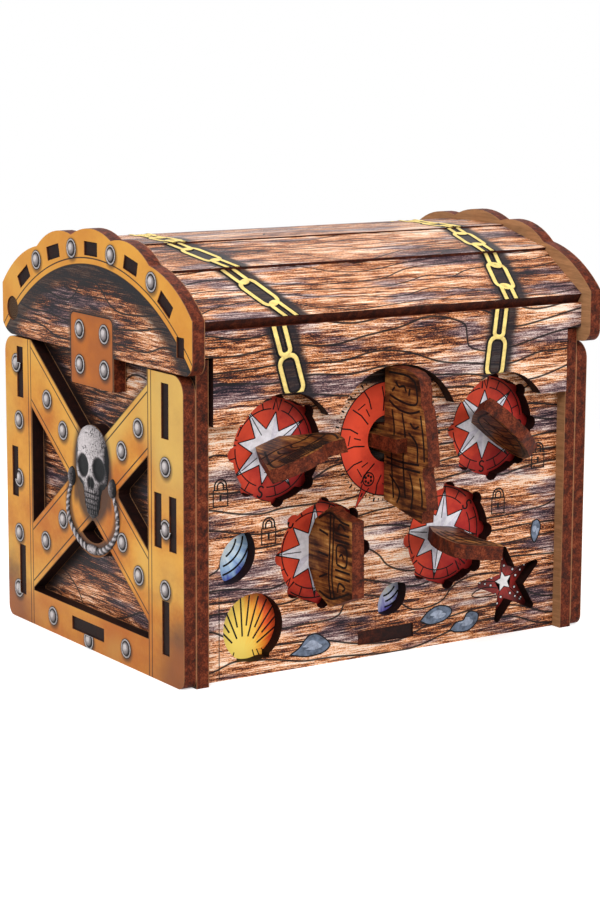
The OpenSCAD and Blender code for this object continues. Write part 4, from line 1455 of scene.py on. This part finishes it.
def growth_print(name, start, spread, stops, lean=(0, 0), grain=5.0):
    """A shell's colours: bands by distance from its beak, with streaks across them."""
    surface = Surface(name)
    tree = surface.tree
    across, up = surface.x - start[0], surface.z - start[1]
    distance = (across ** 2 + up ** 2) ** 0.5
    angle = tree.add("ShaderNodeMath", {"operation": "ARCTAN2"}, [up, across])
    streak = tree.stretched(distance, angle, 0.14, grain, 4.0, 4, 0.6)
    level = distance / spread + across * lean[0] + up * lean[1] + streak * 0.75
    return surface.finish(tree.ramp(level, stops), 0.4 + streak * 0.2, streak, 0.00004, 0.2)


class CHEST_OT_shells(bpy.types.Operator):
    """Prints the shells and the starfish that show through the front wall's cut pictures"""
    bl_idname = "chest.shells"
    bl_label = "Print the shells"

    def execute(self, context):
        self.face = front_face(BACKING_Y)
        self.pen = size_of(context, "pen")
        self.ink = plain_print("shell_ink", looks_of(context).ink, 0.2)
        self.scallop()
        blue = [(0.05, (0.62, 0.66, 0.60)), (0.3, (0.72, 0.80, 0.84)), (0.55, (0.34, 0.50, 0.70)),
                (0.8, (0.07, 0.10, 0.40)), (0.98, (0.02, 0.02, 0.10))]
        violet = [(0.05, (0.50, 0.46, 0.20)), (0.25, (0.66, 0.66, 0.62)), (0.5, (0.50, 0.52, 0.72)),
                  (0.75, (0.10, 0.08, 0.36)), (0.95, (0.03, 0.02, 0.12))]
        self.mussel("mussel_large", (20.4, 34.2), (9.0, 7.4), (15.0, 39.5), 17.0, blue,
                    [(6.2, -62, -8), (8.4, -76, -2), (10.8, -80, 4), (13.2, -70, -20)])
        self.mussel("mussel_small", (73.2, 15.8), (6.6, 5.6), (70.8, 21.0), 12.5, violet,
                    [(5.0, -85, -30), (6.8, -80, -34), (8.4, -84, -40)])
        self.starfish()
        return {"FINISHED"}

    def scallop(self):
        """A ribbed fan over its foot, yellow at the left to red at the right."""
        foot, reach = (23.6, 5.4), 17.4
        stops = [(0.0, (0.90, 0.66, 0.13)), (0.28, (0.92, 0.58, 0.09)), (0.46, (0.88, 0.32, 0.03)),
                 (0.66, (0.78, 0.09, 0.02)), (0.98, (0.26, 0.03, 0.01))]
        paint = growth_print("scallop_print", foot, reach * 2.4, stops, (0.052, -0.004), 9.0)
        base = Drawing(self.face)
        fan = []
        ribs = 12
        for i in range(ribs * 6 + 1):
            angle = math.radians(22 + 122 * i / (ribs * 6))
            bulge = reach + 0.5 * abs(math.sin(math.pi * i / 6))
            fan.append((foot[0] + bulge * math.cos(angle), foot[1] + bulge * math.sin(angle)))
        base.slab([*fan, (17.6, 7.0), (18.6, 3.6), (31.4, 3.6), (32.2, 7.0)], 0.12)
        base.build("scallop_face", paint, "chest", "print_plank")
        lines = Drawing(self.face)
        for i in range(1, ribs):
            angle = math.radians(22 + 122 * i / ribs)
            start, end = (5.2 if i % 2 else 8.2), reach - 0.6
            rib = [(foot[0] + r * math.cos(angle), foot[1] + r * math.sin(angle)) for r in (start, end)]
            lines.pen(rib, self.pen * 1.5, 0.18)
        for across in (-4.4, -3.0, 3.0, 4.4, 6.0):
            crease = [(foot[0] + across, foot[1] + 1.0), (foot[0] + across * 1.25, foot[1] - 1.4)]
            lines.pen(crease, self.pen, 0.18)
        lines.build("scallop_ribs", self.ink, "chest", "print_plank")

    def mussel(self, name, centre, size, beak, spread, stops, arcs):
        """A shell with growth lines, each given as (radius, start, end) about its beak."""
        paint = growth_print(f"{name}_print", beak, spread, stops)
        base = Drawing(self.face)
        base.slab(circle_points(centre, size[0], steps=40, squash=size[1] / size[0]), 0.12)
        base.build(f"{name}_face", paint, "chest", "print_plank")
        bands = Drawing(self.face)
        for radius, start, end in arcs:
            bands.pen(circle_points(beak, radius, start, end, 12), self.pen * 1.7, 0.18)
        bands.build(f"{name}_bands", self.ink, "chest", "print_plank")

    def starfish(self):
        """Dark red arms with pale spots round a white star."""
        centre = (2 * MIDDLE - 24.0, 14.9)
        stops = [(0.1, (0.30, 0.022, 0.018)), (0.4, (0.12, 0.010, 0.008)), (0.8, (0.02, 0.003, 0.003))]
        paint = growth_print("starfish_print", centre, 16.0, stops, (0.01, 0.012))
        base = Drawing(self.face)
        base.slab(circle_points(centre, 13.4, steps=40), 0.12)
        base.build("starfish_face", paint, "chest", "print_plank")
        pale = plain_print("starfish_pale", (0.88, 0.84, 0.84), 0.15)
        dots, rings = Drawing(self.face), Drawing(self.face)
        star = [(r * math.cos(math.radians(36 * i)), r * math.sin(math.radians(36 * i)))
                for i, r in enumerate([3.2, 1.6] * 5)]
        dots.slab(moved(star, centre, 102), 0.17)
        rings.pen(moved(star, centre, 102), self.pen, 0.19, closed=True)
        for arm in range(5):
            turn = 102 + 72 * arm
            for share, radius in ((4.6, 0.34), (6.8, 0.28), (8.8, 0.22)):
                for way in (-1, 1):
                    spot = moved([(share, way * (10.4 - share) * 0.2)], centre, turn)[0]
                    dots.slab(circle_points(spot, radius, steps=10), 0.2)
                    rings.slab(circle_points(spot, radius + 0.2, steps=12), 0.16)
            rings.pen(moved([(3.4, 0), (9.6, 0)], centre, turn), self.pen * 0.8, 0.15)
        dots.build("starfish_dots", pale, "chest", "print_plank")
        rings.build("starfish_rings", self.ink, "chest", "print_plank")


PADLOCKS = [(-55.6, 52.6), (-40.0, 40.3), (54.6, 52.6), (40.0, 40.3)]
PEBBLES = [
    [(36.6, 4.2), (39.6, 5.7), (41.6, 7.8), (43.4, 9.1), (46.1, 9.0), (49.4, 6.6), (50.1, 5.0), (47.6, 3.4),
     (42.2, 3.0)],
    [(81.8, 7.9), (84.7, 10.5), (88.4, 11.7), (92.2, 10.8), (93.0, 9.0), (90.4, 7.1), (85.5, 6.4)],
    [(92.6, 3.9), (94.8, 5.8), (97.4, 6.2), (98.6, 8.0), (100.4, 8.5), (102.8, 7.4), (102.2, 4.8),
     (99.0, 2.8), (94.5, 3.0)],
    [(122.7, 33.0), (124.4, 33.4), (125.6, 31.6), (124.9, 28.8), (123.6, 26.6), (122.6, 27.6), (122.0, 30.0)],
]
# Loose pen lines on the front wall: a corner scored round and an arm of the starfish
SCORES = [[(13.4, 0.4), (13.4, 25.2)], [(5.6, 25.4), (13.4, 25.2)]]
STAR_ARM = [(109.6, 14.3), (105.6, 15.0), (102.1, 14.4), (100.4, 13.2), (102.2, 12.4), (106.3, 12.1),
            (109.6, 12.2)]


class CHEST_OT_small_prints(bpy.types.Operator):
    """Prints the padlocks and pebbles on the front wall"""
    bl_idname = "chest.small_prints"
    bl_label = "Print padlocks and pebbles"

    def execute(self, context):
        looks = looks_of(context)
        pen = size_of(context, "pen")
        face = front_face(PANEL_Y)
        ink = plain_print("print_ink", looks.ink, 0.2)
        stone = plain_print("pebble_print", (0.17, 0.21, 0.29), 0.75, 0.5)
        gleam = plain_print("pebble_gleam", (0.36, 0.41, 0.52), 0.5, 0.9)
        lines, stones, gleams = Drawing(face), Drawing(face), Drawing(face)
        for across, up in PADLOCKS:
            centre = (MIDDLE + across, up)
            body = [(-2.3, -3.4), (2.3, -3.4), (2.3, 1.2), (-2.3, 1.2)]
            lines.pen(moved(body, centre), pen * 1.5, closed=True)
            for radius in (1.0, 1.9):
                shackle = [(radius, 1.2), *circle_points((0, 2.2), radius, 0, 180, 10), (-radius, 1.2)]
                lines.pen(moved(shackle, centre), pen * 1.4)
            lines.pen(moved([(0, -0.2), (0, -1.9)], centre), pen * 2)
        for shape in PEBBLES:
            outline = soft_curve([*shape, shape[0]], 5)[:-1]
            middle = [sum(values) / len(shape) for values in zip(*shape)]
            stones.slab(outline, 0.04)
            lines.pen(outline, pen * 1.2, closed=True)
            for lift, (across, up) in enumerate([(-0.3, 0.5), (0.9, -0.4)]):
                inner = [((u - middle[0]) * 0.42 + middle[0] + across, (v - middle[1]) * 0.3 + middle[1] + up)
                         for u, v in outline]
                gleams.slab(inner, 0.055 + 0.01 * lift)
        for score in SCORES:
            lines.pen(score, pen * 0.7)
        lines.pen(soft_curve(STAR_ARM, 5), pen)
        lines.build("front_lines", ink, "chest", "print_plank")
        stones.build("pebbles", stone, "chest", "print_plank")
        gleams.build("pebble_gleams", gleam, "chest", "print_plank")
        return {"FINISHED"}


# Token engravings: smooth pen lines, through points (across, out) in boards
TOKEN_LINES = {
    "token_bottle": [
        [(-1.3, 0.6), (-2.7, 3.8), (-1.4, 4.15), (1.2, 4.0)],
        [(1.9, 1.0), (2.5, 1.8), (2.9, 3.0), (2.55, 4.1)],
        [(-2.2, 1.5), (-0.6, 1.2), (1.2, 1.6), (2.3, 1.2)],
        [(-2.6, 2.9), (-1.0, 2.5), (0.8, 2.9), (2.7, 2.4)],
        [(-0.8, 1.5), (-1.0, 2.1), (-0.5, 2.5)], [(0.3, 1.5), (0.1, 2.1), (0.6, 2.7)],
        [(-1.9, 3.2), (0.0, 3.05), (1.9, 3.2)], [(-1.9, 3.45), (0.0, 3.3), (1.9, 3.45)],
        [(-1.9, 3.7), (0.0, 3.55), (1.9, 3.7)], [(-1.9, 3.95), (0.0, 3.8), (1.9, 3.95)],
    ],
    "token_helmet": [
        [(-3.3, 3.2), (-2.0, 0.8), (-0.6, -0.1), (1.4, -0.2), (2.7, 0.3), (3.0, 1.0), (2.3, 2.0)],
        [(-3.0, 3.2), (-1.2, 3.3), (0.4, 3.1), (2.2, 2.0)], [(-1.6, 1.0), (-0.8, 2.2), (-0.9, 3.2)],
        [(-0.4, 0.4), (0.2, 1.6), (0.1, 3.0)], [(0.9, 0.2), (1.3, 1.2), (1.1, 2.5)],
        [(-2.2, 1.6), (-0.9, 1.5), (0.4, 1.7), (1.9, 1.3)],
    ],
    "token_strongbox": [
        [(-2.6, 0.3), (-2.9, 1.7), (-2.5, 3.0), (-2.1, 4.0)],
        [(2.6, 0.2), (3.2, 1.6), (2.8, 3.0), (2.7, 4.0)],
        [(-2.9, 1.8), (-1.4, 1.5), (0.4, 1.6), (3.2, 1.7)],
        [(-2.8, 2.2), (-1.4, 1.9), (0.4, 2.0), (3.0, 2.1)],
        [(-1.2, 2.3), (-1.2, 4.1)], [(-0.7, 2.3), (-0.7, 4.1)],
        [(1.4, 2.3), (1.4, 4.0)], [(1.9, 2.3), (1.9, 4.0)],
        [(-0.3, 2.5), (1.0, 2.5), (1.0, 3.6), (-0.3, 3.6), (-0.3, 2.5)], [(0.3, 2.8), (0.5, 3.1), (0.2, 3.3)],
        [(-1.6, 0.3), (-1.2, 1.3)], [(0.2, 0.2), (0.1, 1.4)], [(1.8, 0.3), (1.6, 1.4)],
        [(-2.3, 2.6), (-1.6, 2.8), (-1.8, 3.5), (-2.1, 3.2)], [(2.2, 2.6), (2.6, 2.9), (2.3, 3.5)],
    ],
    "token_parrot": [
        [(-2.3, 1.6), (-3.1, 3.5), (-3.6, 5.4), (-3.5, 6.4), (-2.0, 6.7), (-0.8, 6.7)],
        [(-0.6, 6.2), (-0.6, 4.0), (0.3, 1.0)], [(-1.8, 1.4), (-2.3, 3.2), (-2.6, 5.2), (-2.2, 6.3)],
        [(-1.1, 1.0), (-1.5, 3.0), (-1.7, 4.8), (-1.3, 6.2)], [(-2.9, 3.4), (-1.9, 3.1), (-0.8, 3.5)],
        [(-3.4, 5.0), (-2.2, 4.6), (-0.8, 5.0)], [(-1.7, 1.6), (-0.9, 2.0), (-0.1, 1.7)],
    ],
    "token_captain": [
        [(4.9, 0.8), (4.9, 2.8), (4.7, 3.6), (4.3, 4.0), (3.2, 4.2), (2.9, 3.6), (3.0, 2.2), (3.3, 0.9)],
        [(4.3, 1.6), (4.0, 2.0), (4.1, 2.6), (3.7, 2.9)], [(3.6, 1.2), (3.9, 1.5)], [(3.5, 3.2), (4.0, 3.3)],
        [(2.9, 0.8), (2.4, 2.0), (2.3, 3.4), (2.6, 4.5)], [(2.3, 4.6), (0.4, 5.0), (-0.9, 5.1)],
        [(2.2, 2.4), (0.6, 2.8), (-1.0, 2.6), (-3.8, 2.9)],
        [(2.3, 1.2), (0.8, 1.5), (-1.0, 1.2), (-4.0, 1.5)],
        [(0.9, 3.2), (0.2, 4.2), (-1.1, 4.3)], [(-1.2, 0.6), (-1.3, 2.4), (-1.2, 4.5)],
        [(-1.6, 0.6), (-1.7, 2.4), (-1.7, 4.6)], [(-2.0, 3.4), (-3.2, 3.8), (-4.5, 3.6)],
        [(-2.1, 4.6), (-3.4, 4.9), (-4.1, 4.9)], [(1.6, 3.4), (1.3, 3.9), (1.5, 4.4)],
        [(-2.4, 1.0), (-3.4, 2.2), (-4.3, 1.9)],
    ],
}


class CHEST_OT_tokens(bpy.types.Operator):
    """Engraves both sides of the five tokens"""
    bl_idname = "chest.tokens"
    bl_label = "Engrave the tokens"

    def execute(self, context):
        pen = size_of(context, "pen")
        ink = plain_print("token_ink", looks_of(context).ink, 0.2)
        for title, (disc, token, turn) in DIALS.items():
            centre = centre_of(disc)
            for side, way in (("over", 1), ("under", -1)):
                lines = Drawing(token_face(centre, turn, way))
                for line in TOKEN_LINES[token]:
                    shape = soft_curve([(u * BOARD, v * BOARD) for u, v in line], 6)
                    lines.pen(shape, pen * 2.0, 0.07)
                lines.build(f"{token}_lines_{side}", ink, f"dial_{title}", "print_token")
        return {"FINISHED"}


# Camera: place and view of the studio shot
CAMERA_AT = (-0.39747, -0.59636, 0.18267)
CAMERA_AZIMUTH = -33.297
CAMERA_ELEVATION = 10.179
CAMERA_ROLL = 0.259
CAMERA_LENS = 98.2


def area_lamp(name, place, target, size, power, colour=(1, 1, 1)):
    """A square soft lamp that faces a point."""
    data = bpy.data.lights.new(name, "AREA")
    data.shape = "SQUARE"
    data.size = size
    data.energy = power
    data.color = colour
    lamp = bpy.data.objects.new(name, data)
    lamp.location = place
    lamp.rotation_mode = "QUATERNION"
    lamp.rotation_quaternion = (Vector(target) - Vector(place)).to_track_quat("-Z", "Y")
    bpy.context.scene.collection.objects.link(lamp)


class CHEST_OT_stage(bpy.types.Operator):
    """Sets the pale floor, the white surroundings, the lamps and the camera"""
    bl_idname = "chest.stage"
    bl_label = "Set the stage"

    def execute(self, context):
        self.floor(context)
        self.surroundings(context)
        middle = (0, 0, 0.06)
        area_lamp("key_lamp", (-0.9, -1.1, 1.2), middle, 0.7, 18)
        area_lamp("side_lamp", (-1.4, -0.1, 0.6), middle, 0.8, 6)
        area_lamp("front_lamp", (0.7, -1.5, 0.6), middle, 0.9, 13)
        area_lamp("top_lamp", (0.3, 0.6, 1.4), middle, 0.8, 9)
        self.camera(context)
        context.scene.view_settings.view_transform = "Standard"
        return {"FINISHED"}

    def floor(self, context):
        data = bpy.data.meshes.new("studio_floor")
        half = 6.0
        corners = [(-half, -half, 0), (half, -half, 0), (half, half, 0), (-half, half, 0)]
        data.from_pydata(corners, [], [(0, 1, 2, 3)])
        floor = bpy.data.objects.new("studio_floor", data)
        context.scene.collection.objects.link(floor)
        material = bpy.data.materials.new("studio_floor")
        material.use_nodes = True
        tree = Tree(material.node_tree)
        tree.nodes.clear()
        rays = tree.add("ShaderNodeLightPath", {}, (), "Is Camera Ray")
        matt = tree.add("ShaderNodeBsdfDiffuse", {}, {"Color": (0.86, 0.86, 0.86, 1)})
        glow = tree.add("ShaderNodeEmission", {}, {"Color": (1, 1, 1, 1), "Strength": 0.45})
        white = tree.add("ShaderNodeEmission", {}, {"Color": (1, 1, 1, 1), "Strength": 1.0})
        seen = rays.most(rays.other("Is Glossy Ray"))
        place = tree.add("ShaderNodeTexCoord", {}, (), "Object")
        distance = tree.add("ShaderNodeVectorMath", {"operation": "LENGTH"}, [place], "Value")
        both = tree.add("ShaderNodeAddShader", {}, [matt, glow])
        shown = tree.add("ShaderNodeMixShader", {}, [distance.smooth(0.16, 0.4), both, white])
        unseen = tree.add("ShaderNodeBsdfDiffuse", {}, {"Color": (0.5, 0.49, 0.48, 1)})
        surface = tree.add("ShaderNodeMixShader", {}, [seen, unseen, shown])
        tree.add("ShaderNodeOutputMaterial", {}, {"Surface": surface})
        data.materials.append(material)

    def surroundings(self, context):
        world = bpy.data.worlds.new("studio_surroundings")
        context.scene.world = world
        world.use_nodes = True
        tree = Tree(world.node_tree)
        tree.nodes.clear()
        rays = tree.add("ShaderNodeLightPath", {}, (), "Is Camera Ray")
        seen = rays.most(rays.other("Is Glossy Ray")).most(rays.other("Is Transmission Ray"))
        strength = seen * 0.62 + 0.38
        glow = tree.add("ShaderNodeBackground", {}, {"Color": (1, 1, 1, 1), "Strength": strength})
        tree.add("ShaderNodeOutputWorld", {}, {"Surface": glow})

    def camera(self, context):
        data = bpy.data.cameras.new("studio_camera")
        data.lens = CAMERA_LENS
        data.sensor_width = 36
        azimuth, elevation, roll = map(math.radians, (CAMERA_AZIMUTH, CAMERA_ELEVATION, CAMERA_ROLL))
        back = Vector((math.sin(azimuth) * math.cos(elevation), -math.cos(azimuth) * math.cos(elevation),
                       math.sin(elevation)))
        level = Vector((math.cos(azimuth), math.sin(azimuth), 0))
        above = back.cross(level)
        right = level * math.cos(roll) + above * math.sin(roll)
        up = above * math.cos(roll) - level * math.sin(roll)
        camera = bpy.data.objects.new("studio_camera", data)
        camera.matrix_world = Matrix.Translation(CAMERA_AT) @ Matrix((right, up, back)).transposed().to_4x4()
        context.scene.collection.objects.link(camera)
        context.scene.camera = camera


class CHEST_PT_panel(bpy.types.Panel):
    """Lists the steps that dress the chest"""
    bl_idname = "CHEST_PT_panel"
    bl_label = "Treasure chest"
    bl_space_type = "VIEW_3D"
    bl_region_type = "UI"
    bl_category = "Chest"

    def draw(self, context):
        for step in STEPS:
            self.layout.operator(step.bl_idname)
        for group in (context.scene.chest_looks, context.scene.chest_sizes):
            for name in group.bl_rna.properties.keys():
                if name not in ("rna_type", "name"):
                    self.layout.prop(group, name)


STEPS = (CHEST_OT_boards, CHEST_OT_rivets, CHEST_OT_skull, CHEST_OT_chains, CHEST_OT_compasses,
         CHEST_OT_shells, CHEST_OT_small_prints, CHEST_OT_tokens, CHEST_OT_stage)
CLASSES = (ChestLooks, ChestSizes, *STEPS, CHEST_PT_panel)


def register():
    for item in CLASSES:
        bpy.utils.register_class(item)
    bpy.types.Scene.chest_looks = bpy.props.PointerProperty(type=ChestLooks)
    bpy.types.Scene.chest_sizes = bpy.props.PointerProperty(type=ChestSizes)


def unregister():
    del bpy.types.Scene.chest_sizes
    del bpy.types.Scene.chest_looks
    for item in reversed(CLASSES):
        bpy.utils.unregister_class(item)


def main():
    register()
    for step in STEPS:
        group, name = step.bl_idname.split(".")
        getattr(getattr(bpy.ops, group), name)()


if __name__ == "__main__":
    main()
